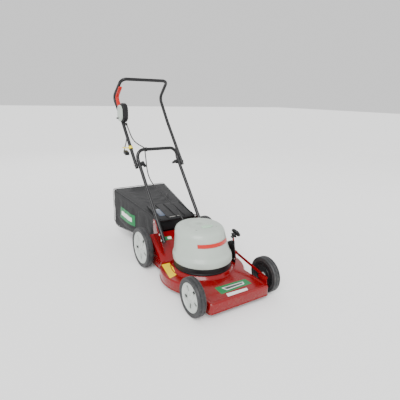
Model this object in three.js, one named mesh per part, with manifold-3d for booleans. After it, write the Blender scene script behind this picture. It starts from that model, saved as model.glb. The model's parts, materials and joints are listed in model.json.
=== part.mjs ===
// Walk-behind rotary lawn mower with an electric motor, a rear grass bag and a folding handle.
// Millimetres, +Z up, the machine drives towards -Y, the operator stands at +Y.
import * as THREE from 'three';
import { mergeVertices } from 'three/addons/utils/BufferGeometryUtils.js';
import Module from 'manifold-3d';

const wasm = await Module();
wasm.setup();

// ---- driving dimensions -------------------------------------------------------------------

const gap = 0.3; // clearance between pieces that touch
const pinPlay = 0.35; // radial clearance of a pivot or a spinning hub

const wheels = {
  frontRadius: 100, rearRadius: 125, width: 42, overall: 510, wheelbase: 607,
  tyreDepth: 24, axleRadius: 6,
};
const rear = wheels.wheelbase; // the tail, the handle and the bag are set out from the rear axle
const deck = {
  noseHalf: 187, noseY: -87, noseCorner: 16, bottom: 29, top: 88, wall: 2.5,
  housingY: 281, housingRadius: 246, tailHalf: 190, tailY: rear - 47, edge: 6,
  stepRadius: 182, stepTopRadius: 174, stepTop: 104,
  rampFootY: 440, rampFootZ: 96, rampTopY: rear - 2, rampTopZ: 200, tailHem: rear - 32,
};
const cover = {
  radius: 171, rimZ: 147, top: 332, wall: 3, ringInset: 5, ringTop: 143, lean: 0.25,
  bandBottom: 250, bandTop: 270, bandInset: 16.5, bandFrom: -38, bandTo: 42,
};
const motor = { radius: 82, top: 262, shaftRadius: 11 };
const blade = { length: 464, width: 55, thick: 3.5, z: 46, lift: 14 };
const linkage = { // every crank turns together, so each rod only moves sideways
  pinY: 6, pinZ: 38, frontPivotY: -53, frontPivotZ: 69, plate: 5, barRadius: 7, pinRadius: 4,
  leverPivotY: deck.housingY - 63, leverPivotZ: 111, armY: 33, armZ: 132, rodThick: 4, rodHeight: 16,
};
const handle = {
  radius: 11, lowerX: 145, tubeGap: 1.5, footY: rear - 124.4, footZ: 183, kneeY: rear + 259, kneeZ: 626,
  barY: rear + 275, barZ: 688, bend: 50, pivotY: rear + 238, pivotZ: 598,
  shoulderY: rear + 454, shoulderZ: 852, rearY: rear + 590, rearZ: 1014,
  gripY: rear + 453, gripZ: 1131, gripBend: 38, spread: 8,
};
const plates = {
  thick: 3, top: 296, frontY: rear - 137, backY: rear + 7, rodY: rear - 14, rodZ: 282, rodRadius: 5,
};
const bag = {
  mouthY: rear + 27, mouthHalf: 132, mouthTop: 285, mouthBottom: 150, rearY: rear + 601, rearHalf: 216,
  rearTop: 366, rearBottom: 96, wall: 2.5,
};
const flap = { half: 122, thick: 4, endY: rear + 183, lift: 7, skirt: 210 };

// ---- finishes -----------------------------------------------------------------------------

const finishes = {
  red: [0xa5101a, 0.3, 0.1], black: [0x1c1c1e, 0.55, 0.1], steel: [0x9a9da1, 0.35, 0.9],
  grey: [0xc9cdc8, 0.5, 0.0], rubber: [0x2f3134, 0.85, 0.0], fabric: [0x26272a, 0.95, 0.0],
  yellow: [0xe6d21c, 0.5, 0.0], accent: [0xd23a34, 0.4, 0.0], badge: [0xa9cdb4, 0.5, 0.0],
  plastic: [0x202124, 0.6, 0.0],
};

const mower = new THREE.Group();

function add(name, geometry, finish, parent = mower) {
  const [color, roughness, metalness] = finishes[finish];
  const mesh = new THREE.Mesh(geometry, new THREE.MeshStandardMaterial({ color, roughness, metalness }));
  mesh.name = name;
  parent.add(mesh);
  return mesh;
}

function place(x, y, z) {
  const group = new THREE.Group();
  group.position.set(x, y, z);
  mower.add(group);
  return group;
}

// ---- solids -------------------------------------------------------------------------------

function toSolid(geometry) {
  const plain = geometry.clone();
  plain.deleteAttribute('normal');
  plain.deleteAttribute('uv');
  const merged = mergeVertices(plain, 1e-4);
  return new wasm.Manifold(new wasm.Mesh({
    numProp: 3,
    vertProperties: new Float32Array(merged.attributes.position.array),
    triVerts: new Uint32Array(merged.index.array),
  }));
}

function toGeometry(solid) {
  const result = solid.getMesh();
  const geometry = new THREE.BufferGeometry();
  geometry.setAttribute('position', new THREE.BufferAttribute(result.vertProperties, 3));
  geometry.setIndex(new THREE.BufferAttribute(result.triVerts, 1));
  return geometry;
}

function join(first, ...others) {
  return toGeometry(others.reduce((sum, other) => sum.add(toSolid(other)), toSolid(first)));
}

function cut(first, ...others) {
  return toGeometry(others.reduce((rest, other) => rest.subtract(toSolid(other)), toSolid(first)));
}

function meet(first, second) {
  return toGeometry(toSolid(first).intersect(toSolid(second)));
}

function box(x0, x1, y0, y1, z0, z1) {
  const geometry = new THREE.BoxGeometry(x1 - x0, y1 - y0, z1 - z0);
  return geometry.translate((x0 + x1) / 2, (y0 + y1) / 2, (z0 + z1) / 2);
}

// A lathe turned about Z; the profile lists [radius, z].
function turned(profile, sides = 36) {
  const points = profile.map(([r, z]) => new THREE.Vector2(r, z));
  return new THREE.LatheGeometry(points, sides, Math.PI / sides).rotateX(Math.PI / 2);
}

// The same about X; the profile lists [radius, x].
function turnedX(profile, sides = 24) {
  return turned(profile, sides).rotateY(Math.PI / 2);
}

function rodX(radius, x0, x1, y, z, sides = 16) {
  return turnedX([[0, x0], [radius, x0], [radius, x1], [0, x1]], sides).translate(0, y, z);
}

// An outline drawn in the Y-Z plane and extruded along X.
function sidePlate(shape, x0, x1, bevel = 0) {
  const geometry = new THREE.ExtrudeGeometry(shape, {
    depth: x1 - x0 - 2 * bevel, bevelEnabled: bevel > 0, bevelSize: bevel, bevelOffset: -bevel,
    bevelThickness: bevel, bevelSegments: 1, curveSegments: 8,
  });
  geometry.translate(0, 0, bevel);
  return geometry.rotateY(Math.PI / 2).rotateX(Math.PI / 2).translate(x0, 0, 0);
}

function outline(points) {
  return new THREE.Shape(points.map(([a, b]) => new THREE.Vector2(a, b)));
}

// A convex plate around round bosses, in the Y-Z plane: [y, z, radius] each.
function bossOutline(bosses, steps = 16) {
  const ring = [];
  for (const [y, z, radius] of bosses) {
    for (let i = 0; i < steps; i += 1) {
      const angle = (2 * Math.PI * i) / steps;
      ring.push([y + radius * Math.cos(angle), z + radius * Math.sin(angle)]);
    }
  }
  ring.sort((a, b) => a[0] - b[0] || a[1] - b[1]);
  const turn = (o, a, b) => (a[0] - o[0]) * (b[1] - o[1]) - (a[1] - o[1]) * (b[0] - o[0]);
  const half = (list) => {
    const chain = [];
    for (const point of list) {
      while (chain.length > 1 && turn(chain.at(-2), chain.at(-1), point) <= 0) chain.pop();
      chain.push(point);
    }
    return chain.slice(0, -1);
  };
  return outline([...half(ring), ...half([...ring].reverse())]);
}

// A curve that is sampled exactly at its stations, so that straight runs take no extra rings.
class StationCurve extends THREE.Curve {
  constructor(stations) {
    super();
    this.stations = stations;
  }

  getPoint(t, target = new THREE.Vector3()) {
    const at = t * (this.stations.length - 1);
    const index = Math.min(Math.floor(at), this.stations.length - 2);
    return target.lerpVectors(this.stations[index], this.stations[index + 1], at - index);
  }

  getPointAt(t, target) {
    return this.getPoint(t, target);
  }

  getTangentAt(t, target = new THREE.Vector3()) {
    const last = this.stations.length - 1;
    const index = Math.round(t * last);
    const before = this.stations[Math.max(index - 1, 0)];
    const after = this.stations[Math.min(index + 1, last)];
    return target.subVectors(after, before).normalize();
  }
}

function bentStations(corners, bendRadius, steps = 4) {
  const points = corners.map((corner) => new THREE.Vector3(...corner));
  const stations = [points[0]];
  for (let i = 1; i < points.length - 1; i += 1) {
    const back = points[i - 1].clone().sub(points[i]).normalize();
    const on = points[i + 1].clone().sub(points[i]).normalize();
    const halfAngle = back.angleTo(on) / 2;
    const setback = bendRadius / Math.tan(halfAngle);
    const middle = back.clone().add(on).normalize();
    const centre = points[i].clone().addScaledVector(middle, bendRadius / Math.sin(halfAngle));
    const from = points[i].clone().addScaledVector(back, setback).sub(centre);
    const to = points[i].clone().addScaledVector(on, setback).sub(centre);
    const sweep = Math.PI - 2 * halfAngle;
    for (let s = 0; s <= steps; s += 1) {
      const a = Math.sin(((steps - s) / steps) * sweep) / Math.sin(sweep);
      const b = Math.sin((s / steps) * sweep) / Math.sin(sweep);
      stations.push(centre.clone().addScaledVector(from, a).addScaledVector(to, b));
    }
  }
  stations.push(points.at(-1));
  return stations;
}

function sweep(stations, radius, sides = 10) {
  const section = [];
  for (let i = 0; i < sides; i += 1) {
    const angle = (2 * Math.PI * i) / sides;
    section.push([radius * Math.cos(angle), radius * Math.sin(angle)]);
  }
  return new THREE.ExtrudeGeometry(outline(section), {
    steps: stations.length - 1, extrudePath: new StationCurve(stations), bevelEnabled: false,
  });
}

function bentTube(corners, bendRadius, radius, sides = 10) {
  return sweep(bentStations(corners, bendRadius), radius, sides);
}

// A cord runs on one smooth curve through its chosen points.
function cord(points, radius, steps, sides = 8) { // Y counts from the rear axle
  const places = points.map(([x, y, z]) => new THREE.Vector3(x, rear + y, z));
  const curve = new THREE.CatmullRomCurve3(places, false, 'centripetal');
  return sweep(curve.getSpacedPoints(steps), radius, sides);
}

// ---- places worked out from the driving dimensions ----------------------------------------

const axleFrontY = 0;
const axleRearY = wheels.wheelbase;
const crankY = axleFrontY - linkage.frontPivotY;
const crankZ = wheels.frontRadius - linkage.frontPivotZ;
const rearPivotY = axleRearY - crankY;
const rearPivotZ = wheels.rearRadius - crankZ;
const wallX = deck.tailHalf; // the widest side wall that a crank passes
const upperX = handle.lowerX + 2 * handle.radius + handle.tubeGap; // the upper tubes lie outside the lower
const plateInner = handle.lowerX + handle.radius + gap + 0.1;
const ringRadius = cover.radius - cover.ringInset;
const bandRadius = cover.radius - cover.bandInset;
const crankX = wallX + gap;
const wheelX = wheels.overall / 2 - wheels.width / 2;
const rodX1 = crankX + linkage.plate + 2;
const rodX2 = rodX1 + linkage.rodThick + gap;
const pinEndX = rodX2 + linkage.rodThick + 1.5;

// ---- deck ---------------------------------------------------------------------------------

function deckPlan(inset) {
  const nose = deck.noseHalf - inset;
  const radius = deck.housingRadius - inset;
  const tail = deck.tailHalf - inset;
  const corner = deck.noseCorner;
  const front = deck.noseY + inset;
  const noseAngle = Math.acos(nose / radius);
  const tailAngle = Math.acos(tail / radius);
  const shape = new THREE.Shape();
  shape.moveTo(-nose + corner, front);
  shape.lineTo(nose - corner, front);
  shape.absarc(nose - corner, front + corner, corner, -Math.PI / 2, 0, false);
  shape.absarc(0, deck.housingY, radius, -noseAngle, tailAngle, false);
  shape.lineTo(tail, deck.tailY - inset);
  shape.lineTo(-tail, deck.tailY - inset);
  shape.absarc(0, deck.housingY, radius, Math.PI - tailAngle, Math.PI + noseAngle, false);
  shape.absarc(-nose + corner, front + corner, corner, Math.PI, 1.5 * Math.PI, false);
  return shape;
}

function deckBlock(inset, bottom) {
  const height = deck.top - inset - bottom;
  const block = new THREE.ExtrudeGeometry(deckPlan(inset), {
    depth: height, bevelThickness: deck.edge, bevelSize: deck.edge, bevelOffset: -deck.edge,
    bevelSegments: 1, curveSegments: 9,
  });
  block.translate(0, 0, bottom - deck.edge);
  return block;
}

function stepBlock(inset, bottom) {
  const top = deck.stepTop - inset;
  return turned([
    [0, bottom], [deck.stepRadius - inset, bottom], [deck.stepRadius - inset, deck.top],
    [deck.stepTopRadius - inset, top], [0, top],
  ], 36).translate(0, deck.housingY, 0);
}

const rampSlope = (deck.rampTopZ - deck.rampFootZ) / (deck.rampTopY - deck.rampFootY);

function rampZ(y) {
  return deck.rampFootZ + rampSlope * (y - deck.rampFootY);
}

function tailBlock(inset, bottom, overrun) {
  const shape = outline([
    [deck.rampFootY - 30, bottom], [deck.tailHem + overrun, bottom],
    [deck.rampTopY + overrun, rampZ(deck.rampTopY) - 45 - inset],
    [deck.rampTopY + overrun, rampZ(deck.rampTopY + overrun) - inset],
    [deck.rampFootY, deck.rampFootZ - inset], [deck.rampFootY - 30, deck.top - 2 - inset],
  ]);
  const half = deck.tailHalf - inset;
  return sidePlate(shape, -half, half, deck.edge - 1);
}

const trimBottom = box(-400, 400, -400, 900, -400, deck.bottom);
const outerDeck = join(deckBlock(0, deck.bottom), stepBlock(0, deck.bottom), tailBlock(0, deck.bottom, 0));
const innerDeck = join(
  deckBlock(deck.wall, -40), stepBlock(deck.wall, -40), tailBlock(deck.wall, -40, 60),
);
const deckShell = cut(
  outerDeck, innerDeck, trimBottom,
  rodX(linkage.barRadius + 2.6, -300, 300, linkage.frontPivotY, linkage.frontPivotZ),
  rodX(linkage.barRadius + 2.6, -300, 300, rearPivotY, rearPivotZ),
  turned([[0, 60], [motor.shaftRadius + 8, 60], [motor.shaftRadius + 8, 140], [0, 140]], 24)
    .translate(0, deck.housingY, 0),
);
add('deck_shell', deckShell, 'red');

// Plates that stand on the tail, hold the handle's feet and carry the flap's rod.
const plateOuter = plateInner + plates.thick;
const footDirection = new THREE.Vector2(handle.kneeY - handle.footY, handle.kneeZ - handle.footZ).normalize();
const footBolts = [16, 54].map((along) => ({
  y: handle.footY + footDirection.x * along, z: handle.footZ + footDirection.y * along,
}));
const boltRadius = 4;

for (const [side, name] of [[-1, 'right'], [1, 'left']]) {
  const profile = outline([
    [plates.frontY, rampZ(plates.frontY) + gap + 0.4],
    [plates.backY - 14, rampZ(plates.backY - 14) + gap + 0.4],
    [plates.backY - 6, rampZ(plates.backY) + 6], [plates.backY, plates.top - 40],
    [plates.backY - 4, plates.top], [plates.rodY - 12, plates.top],
    [plates.frontY - 4, rampZ(plates.frontY) + 34],
  ]);
  const x0 = side > 0 ? plateInner : -plateOuter;
  const plate = sidePlate(profile, x0, x0 + plates.thick);
  const holes = footBolts.map((bolt) => rodX(boltRadius + gap, -200, 200, bolt.y, bolt.z));
  holes.push(rodX(plates.rodRadius + gap, -200, 200, plates.rodY, plates.rodZ));
  add(`side_plate_${name}`, cut(plate, ...holes), 'red');
  footBolts.forEach((bolt, index) => {
    const head = turnedX([
      [0, handle.lowerX + handle.radius + 0.1], [boltRadius, handle.lowerX + handle.radius + 0.1],
      [boltRadius, plateOuter + gap], [8, plateOuter + gap], [8, plateOuter + 3],
      [5, plateOuter + 5.5], [0, plateOuter + 5.5],
    ], 12).translate(0, bolt.y, bolt.z);
    const turnedRound = side > 0 ? head : head.rotateZ(Math.PI).translate(0, 2 * bolt.y, 0);
    add(`foot_bolt_${name}_${index + 1}`, turnedRound, 'steel');
  });
}

// The ramp that leads the clippings from under the deck up to the bag.
const chute = { y0: rear - 87, z0: 64, y1: rear + 9, z1: 142, half: deck.tailHalf - deck.wall - 6 };
add('chute_floor', sidePlate(outline([
  [chute.y0 + 2, chute.z0 + 46], [chute.y0 + 46, chute.z0 + 62], [chute.y1, chute.z1],
  [chute.y1, chute.z1 + 3], [chute.y0 + 46, chute.z0 + 65], [chute.y0 + 2, chute.z0 + 49],
]), -chute.half, chute.half), 'plastic');

// ---- motor under its cover ----------------------------------------------------------------

const seat = deck.stepTop + gap;
const motorPlace = place(0, deck.housingY, 0);
const boreRadius = motor.shaftRadius + 1;

function ring(profile, sides) { // a lathe whose profile closes on itself
  return turned([...profile, profile[0]], sides);
}

add('motor_body', ring([
  [boreRadius, seat], [motor.radius + 20, seat], [motor.radius + 20, seat + 8],
  [motor.radius, seat + 12], [motor.radius, motor.top - 18], [motor.radius - 18, motor.top],
  [boreRadius, motor.top],
], 32), 'steel', motorPlace);

const bladeTop = blade.z + blade.thick;
const washerTop = blade.z - gap;
add('motor_shaft', turned([
  [0, bladeTop + gap], [motor.shaftRadius, bladeTop + gap], [motor.shaftRadius, motor.top - 30],
  [0, motor.top - 30],
], 20), 'steel', motorPlace);
add('blade_adapter', ring([
  [motor.shaftRadius + gap, bladeTop + gap], [38, bladeTop + gap], [38, bladeTop + 7],
  [22, bladeTop + 11], [22, deck.top - 8], [motor.shaftRadius + gap, deck.top - 8],
], 24), 'steel', motorPlace);
add('blade_bolt', turned([
  [0, washerTop - 13], [11, washerTop - 13], [11, washerTop - 3], [19, washerTop - 3],
  [19, washerTop], [6.5, washerTop], [6.5, bladeTop], [0, bladeTop],
], 12), 'steel', motorPlace);

function bladeSolid() {
  const half = blade.length / 2;
  const wide = blade.width / 2;
  const plan = outline([
    [-half, -wide + 9], [-half + 6, -wide], [half - 34, -wide], [half, -wide + 12],
    [half, wide - 9], [half - 6, wide], [-half + 34, wide], [-half, wide - 12],
  ]);
  const flat = new THREE.ExtrudeGeometry(plan, { depth: blade.thick, bevelEnabled: false });
  flat.translate(0, 0, blade.z);
  const wings = [0, Math.PI].map((turn) => {
    const wing = box(half - 96, half - 26, 0, 22, 0, blade.thick);
    wing.rotateX(Math.atan2(blade.lift, 20)).translate(0, wide - 9, blade.z + 0.4);
    return wing.rotateZ(turn);
  });
  const hole = turned([[0, 0], [7.2, 0], [7.2, 200], [0, 200]], 16);
  return cut(join(flat, ...wings), hole);
}

add('blade', bladeSolid(), 'steel', motorPlace);

const coverSkirt = cover.rimZ - 6;
add('cover_base_ring', ring([
  [ringRadius - 16, seat], [ringRadius, seat], [ringRadius, coverSkirt - 5],
  [ringRadius - 3, coverSkirt - 1], [ringRadius - 3, cover.ringTop],
  [ringRadius - 16, cover.ringTop],
], 28), 'plastic', motorPlace);

// The cover's upper part leans back over the motor.
function leaned(geometry) {
  const place = geometry.attributes.position;
  for (let i = 0; i < place.count; i += 1) {
    place.setY(i, place.getY(i) + cover.lean * Math.max(0, place.getZ(i) - cover.rimZ));
  }
  return geometry;
}

const coverOuter = [
  [cover.radius - 3, coverSkirt], [cover.radius, cover.rimZ], [cover.radius, cover.rimZ + 20],
  [cover.radius - 3, cover.rimZ + 34], [cover.radius - 9, cover.rimZ + 42],
  [cover.radius - 14, cover.rimZ + 66], [cover.radius - 19, cover.rimZ + 92],
  [cover.radius - 24, cover.top - 60], [cover.radius - 26, cover.top - 40],
  [cover.radius - 30, cover.top - 26], [cover.radius - 39, cover.top - 14],
  [cover.radius - 56, cover.top - 6], [cover.radius - 88, cover.top], [0, cover.top],
];
const coverInner = coverOuter.filter((_, i) => i % 2 < 1 || i === coverOuter.length - 1).map(([r, z]) => [
  Math.max(r - cover.wall, 0), z - cover.wall * Math.max(0, (z - cover.rimZ) / (cover.top - cover.rimZ)),
]).reverse();
add('motor_cover', leaned(turned([...coverOuter, ...coverInner, coverOuter[0]], 32)), 'grey', motorPlace);

function arcBand(inner, outer, fromDegrees, toDegrees) { // degrees run from the front towards +X
  const from = THREE.MathUtils.degToRad(fromDegrees - 90);
  const to = THREE.MathUtils.degToRad(toDegrees - 90);
  const shape = new THREE.Shape();
  shape.absarc(0, 0, outer, from, to, false);
  shape.absarc(0, 0, inner, to, from, true);
  return shape;
}

const band = new THREE.ExtrudeGeometry(
  arcBand(bandRadius - 3.2, bandRadius, cover.bandFrom, cover.bandTo),
  { depth: cover.bandTop - cover.bandBottom, bevelEnabled: false, curveSegments: 12 },
);
add('cover_band', leaned(band.translate(0, 0, cover.bandBottom)), 'accent', motorPlace);

const badgeShape = new THREE.Shape();
badgeShape.absellipse(14, -64, 38, 21, 0, 2 * Math.PI, false, 0);
const badge = new THREE.ExtrudeGeometry(badgeShape, { depth: 1.6, bevelEnabled: false, curveSegments: 24 });
add('cover_badge', leaned(badge.translate(0, 0, cover.top + gap)), 'badge', motorPlace);

// ---- wheels, axles and the height linkage -------------------------------------------------

function pinHead(from, first, thickness) { // a shouldered pin whose rods start at `first`
  const last = first + thickness;
  return turnedX([
    [0, from], [6.2, from], [6.2, first - gap], [linkage.pinRadius, first - gap],
    [linkage.pinRadius, last + gap], [6.5, last + gap], [6.5, last + gap + 1.8], [0, last + gap + 1.8],
  ], 12);
}

function axleSolid(pivotY, pivotZ, axleY, axleZ, rodAt) {
  const parts = [rodX(linkage.barRadius, -crankX - 1, crankX + 1, pivotY, pivotZ, 16)];
  for (const side of [-1, 1]) {
    const bosses = [[pivotY, pivotZ, 11], [axleY, axleZ, 11]];
    if (side > 0) bosses.push([pivotY + linkage.pinY, pivotZ + linkage.pinZ, 8]);
    const near = side > 0 ? crankX : -crankX - linkage.plate;
    parts.push(sidePlate(bossOutline(bosses), near, near + linkage.plate));
    const stub = [side * (crankX + 1), side * (wheelX + 14)].sort((a, b) => a - b);
    parts.push(rodX(wheels.axleRadius, stub[0], stub[1], axleY, axleZ, 16));
  }
  const pin = pinHead(crankX + linkage.plate - 1, rodAt, linkage.rodThick);
  parts.push(pin.translate(0, pivotY + linkage.pinY, pivotZ + linkage.pinZ));
  return join(...parts);
}

add('front_axle', axleSolid(
  linkage.frontPivotY, linkage.frontPivotZ, axleFrontY, wheels.frontRadius, rodX1,
), 'red');
add('rear_axle', axleSolid(rearPivotY, rearPivotZ, axleRearY, wheels.rearRadius, rodX2), 'red');

const bushSides = 12;

function bush(wall, y, z, side) {
  const inside = wall - deck.wall;
  const hole = (linkage.barRadius + pinPlay) / Math.cos(Math.PI / bushSides);
  const profile = [
    [hole, inside - 3.3], [10.4, inside - 3.3], [10.4, inside - gap], [hole + 1.4, inside - gap],
    [hole + 1.4, wall], [hole, wall], [hole, inside - 3.3],
  ];
  return turnedX(profile, bushSides).rotateZ(side > 0 ? 0 : Math.PI).translate(0, y, z);
}

for (const [side, name] of [[-1, 'right'], [1, 'left']]) {
  add(`front_bush_${name}`, bush(deck.noseHalf, linkage.frontPivotY, linkage.frontPivotZ, side), 'plastic');
  add(`rear_bush_${name}`, bush(deck.tailHalf, rearPivotY, rearPivotZ, side), 'plastic');
}

const tyreSides = 28;

function addWheel(name, side, axleY, radius) {
  const group = place(side * wheelX, axleY, radius);
  group.rotation.z = side > 0 ? 0 : Math.PI;
  const rim = radius - wheels.tyreDepth;
  const half = wheels.width / 2;
  const crown = radius / Math.cos(Math.PI / tyreSides); // its flats, not its corners, reach the ground
  add(`${name}_tyre`, turnedX([
    [rim, -half], [crown - 6, -half], [crown, -half + 6], [crown, half - 6], [crown - 6, half],
    [rim, half], [rim, -half],
  ], tyreSides), 'rubber', group);
  const bore = wheels.axleRadius + pinPlay;
  const edge = rim * Math.cos(Math.PI / tyreSides) - 0.4;
  const disc = turnedX([
    [bore, -16], [15, -16], [15, 6], [edge - 5, 8], [edge - 5, -16], [edge, -16], [edge, 18],
    [edge - 8, 15], [30, 10], [18, 14], [bore, 14], [bore, -16],
  ], 20);
  const windows = [0, 1, 2, 3, 4].map((i) => box(0, 30, -6.5, 6.5, edge * 0.46, edge * 0.8)
    .rotateX((2 * Math.PI * i) / 5));
  add(`${name}_hub`, cut(disc, ...windows), 'grey', group);
}

addWheel('front_left', 1, axleFrontY, wheels.frontRadius);
addWheel('front_right', -1, axleFrontY, wheels.frontRadius);
addWheel('rear_left', 1, axleRearY, wheels.rearRadius);
addWheel('rear_right', -1, axleRearY, wheels.rearRadius);

const leverPin = [linkage.leverPivotY + linkage.pinY, linkage.leverPivotZ + linkage.pinZ];
const leverAngle = Math.atan2(linkage.armY, linkage.armZ);
const leverThick = 4;
const armTop = [linkage.leverPivotY + linkage.armY, linkage.leverPivotZ + linkage.armZ];

function leverArm(spare) {
  const bosses = [[linkage.leverPivotY, linkage.leverPivotZ, 7.5 + spare], [...armTop, 7 + spare]];
  return sidePlate(bossOutline(bosses), crankX - spare, crankX + leverThick + spare);
}

function heightLever() {
  const pivot = [linkage.leverPivotY, linkage.leverPivotZ];
  const ear = sidePlate(bossOutline([[...pivot, 6.5], [...leverPin, 7]]), crankX, crankX + leverThick);
  const pin = pinHead(crankX + leverThick - 1, rodX1, rodX2 + linkage.rodThick - rodX1);
  const hole = rodX(linkage.pinRadius + pinPlay, 100, 300, ...pivot);
  return cut(join(leverArm(0), ear, pin.translate(0, ...leverPin)), hole);
}

add('height_lever', heightLever(), 'red');

const lobes = 6; // grip lobes round the knob
const knobTilt = THREE.MathUtils.degToRad(50); // it leans outwards from the lever
const knobBody = turned([
  [0, -12], [9, -12], [10, 1], [19, 4], [20, 10], [12, 13], [12, 18], [26, 20], [31, 24], [31, 32], [24, 37],
  [0, 39],
], 24);
const knobCuts = [];
for (let i = 0; i < lobes; i += 1) {
  const groove = turned([[0, 2], [4.5, 2], [4.5, 50], [0, 50]], 8).translate(33, 0, 0);
  knobCuts.push(groove.rotateZ((2 * Math.PI * (i + 0.5)) / lobes));
}
const knob = cut(knobBody, ...knobCuts).rotateY(knobTilt);
knob.translate(crankX + leverThick / 2, ...armTop);
add('height_knob', cut(knob, leverArm(gap)), 'plastic');

const quadrant = { radius: 112, from: 4, to: 68, x0: 183.5, x1: 187.5, travel: 45, stops: 6 };

function heightQuadrant() {
  const points = [];
  for (let i = 0; i <= 10; i += 1) {
    const angle = THREE.MathUtils.degToRad(quadrant.from + ((quadrant.to - quadrant.from) * i) / 10);
    points.push([
      linkage.leverPivotY + quadrant.radius * Math.sin(angle),
      linkage.leverPivotZ + quadrant.radius * Math.cos(angle),
    ]);
  }
  points.reverse();
  const footZ = deck.top + gap;
  const foot = [[linkage.leverPivotY - 11, footZ], [linkage.leverPivotY + 84, footZ]];
  const plate = sidePlate(outline([...foot, ...points]), quadrant.x0, quadrant.x1);
  const flange = box(
    quadrant.x0, quadrant.x1 + 16, linkage.leverPivotY + 22, linkage.leverPivotY + 80, footZ, footZ + 3,
  );
  const cuts = [rodX(linkage.pinRadius + pinPlay, 100, 300, linkage.leverPivotY, linkage.leverPivotZ)];
  for (let i = 0; i < quadrant.stops; i += 1) {
    const angle = leverAngle + THREE.MathUtils.degToRad((quadrant.travel * i) / (quadrant.stops - 1));
    cuts.push(rodX(
      5, 100, 300, linkage.leverPivotY + quadrant.radius * Math.sin(angle),
      linkage.leverPivotZ + quadrant.radius * Math.cos(angle), 8,
    ));
  }
  return cut(join(plate, flange), ...cuts);
}

add('height_quadrant', heightQuadrant(), 'plastic');
add('lever_bolt', turnedX([
  [0, quadrant.x0 - 4], [7, quadrant.x0 - 4], [7, quadrant.x0 - gap],
  [linkage.pinRadius, quadrant.x0 - gap], [linkage.pinRadius, crankX + leverThick + gap],
  [6.5, crankX + leverThick + gap], [6.5, crankX + leverThick + 2], [0, crankX + leverThick + 2],
], 12).translate(0, linkage.leverPivotY, linkage.leverPivotZ), 'steel');

function linkRod(y0, z0, y1, z1, x) {
  const shape = bossOutline([[y0, z0, linkage.rodHeight / 2], [y1, z1, linkage.rodHeight / 2]], 12);
  const bar = sidePlate(shape, x, x + linkage.rodThick);
  const hole = linkage.pinRadius + pinPlay;
  return cut(bar, rodX(hole, x - 5, x + 9, y0, z0, 12), rodX(hole, x - 5, x + 9, y1, z1, 12));
}

add('front_rod', linkRod(
  linkage.frontPivotY + linkage.pinY, linkage.frontPivotZ + linkage.pinZ, ...leverPin, rodX1,
), 'red');
add('rear_rod', linkRod(...leverPin, rearPivotY + linkage.pinY, rearPivotZ + linkage.pinZ, rodX2), 'red');

// ---- handle -------------------------------------------------------------------------------

const pivotHole = rodX(boltRadius + pinPlay, -300, 300, handle.pivotY, handle.pivotZ, 12);
const lowerHandle = bentTube([
  [-handle.lowerX, handle.footY, handle.footZ], [-handle.lowerX, handle.kneeY, handle.kneeZ],
  [-handle.lowerX, handle.barY, handle.barZ], [handle.lowerX, handle.barY, handle.barZ],
  [handle.lowerX, handle.kneeY, handle.kneeZ], [handle.lowerX, handle.footY, handle.footZ],
], handle.bend, handle.radius);
add('lower_handle', cut(lowerHandle, pivotHole), 'black');

const tailDirection = new THREE.Vector2(handle.shoulderY - handle.pivotY, handle.shoulderZ - handle.pivotZ)
  .normalize();
const upperEnd = [
  handle.pivotY - 24 * tailDirection.x, handle.pivotZ - 24 * tailDirection.y,
];

function upperLeg(side) {
  return [
    [side * upperX, ...upperEnd], [side * upperX, handle.shoulderY, handle.shoulderZ],
    [side * (upperX + handle.spread), handle.rearY, handle.rearZ],
    [side * (upperX - 2), handle.gripY, handle.gripZ],
  ];
}

const upperCorners = [...upperLeg(-1), ...upperLeg(1).reverse()];
const upperHandle = bentTube(upperCorners, handle.gripBend, handle.radius);
const upperStations = bentStations(upperCorners, handle.gripBend);
add('upper_handle', cut(upperHandle, pivotHole), 'black');

function wingKnob(side) {
  const inner = handle.lowerX - handle.radius - gap;
  const hub = turnedX([
    [0, inner - 25], [9, inner - 25], [12, inner - 10], [15, inner - 4], [15, inner], [0, inner],
  ], 16);
  const wing = box(inner - 31, inner - 9, -5, 5, -25, 25);
  const bore = boltRadius + gap;
  const socket = turnedX([[0, inner - 12], [bore, inner - 12], [bore, inner + 1], [0, inner + 1]], 12);
  const whole = cut(join(hub, wing), socket).rotateX(0.5);
  return whole.rotateZ(side > 0 ? 0 : Math.PI).translate(0, handle.pivotY, handle.pivotZ);
}

function knobBolt(side) {
  const outer = upperX + handle.radius + gap;
  const inner = handle.lowerX - handle.radius - gap - 11;
  const bolt = turnedX([
    [0, inner], [boltRadius, inner], [boltRadius, outer], [8, outer], [8, outer + 2.5],
    [5, outer + 4.5], [0, outer + 4.5],
  ], 12);
  return bolt.rotateZ(side > 0 ? 0 : Math.PI).translate(0, handle.pivotY, handle.pivotZ);
}

for (const [side, name] of [[-1, 'right'], [1, 'left']]) {
  add(`wing_knob_${name}`, wingKnob(side), 'plastic');
  add(`knob_bolt_${name}`, knobBolt(side), 'steel');
}

// ---- switch box on the upper handle -------------------------------------------------------

const switchBox = {
  x0: -upperX - 9.5, x1: -upperX + 27.5, faceX: -upperX - 24, y: rear + 455, low: 896, high: 934, radius: 45,
  pivotY: rear + 509, pivotZ: 952, buttonY: rear + 471, buttonZ: 879,
};
const bailX = { x0: -upperX - 12, x1: -upperX + 12 };
const cableX = switchBox.x1 - 11; // both cables leave the box under its inner half
const tubeRoom = sweep(upperStations, handle.radius + gap + 0.1);

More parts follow.
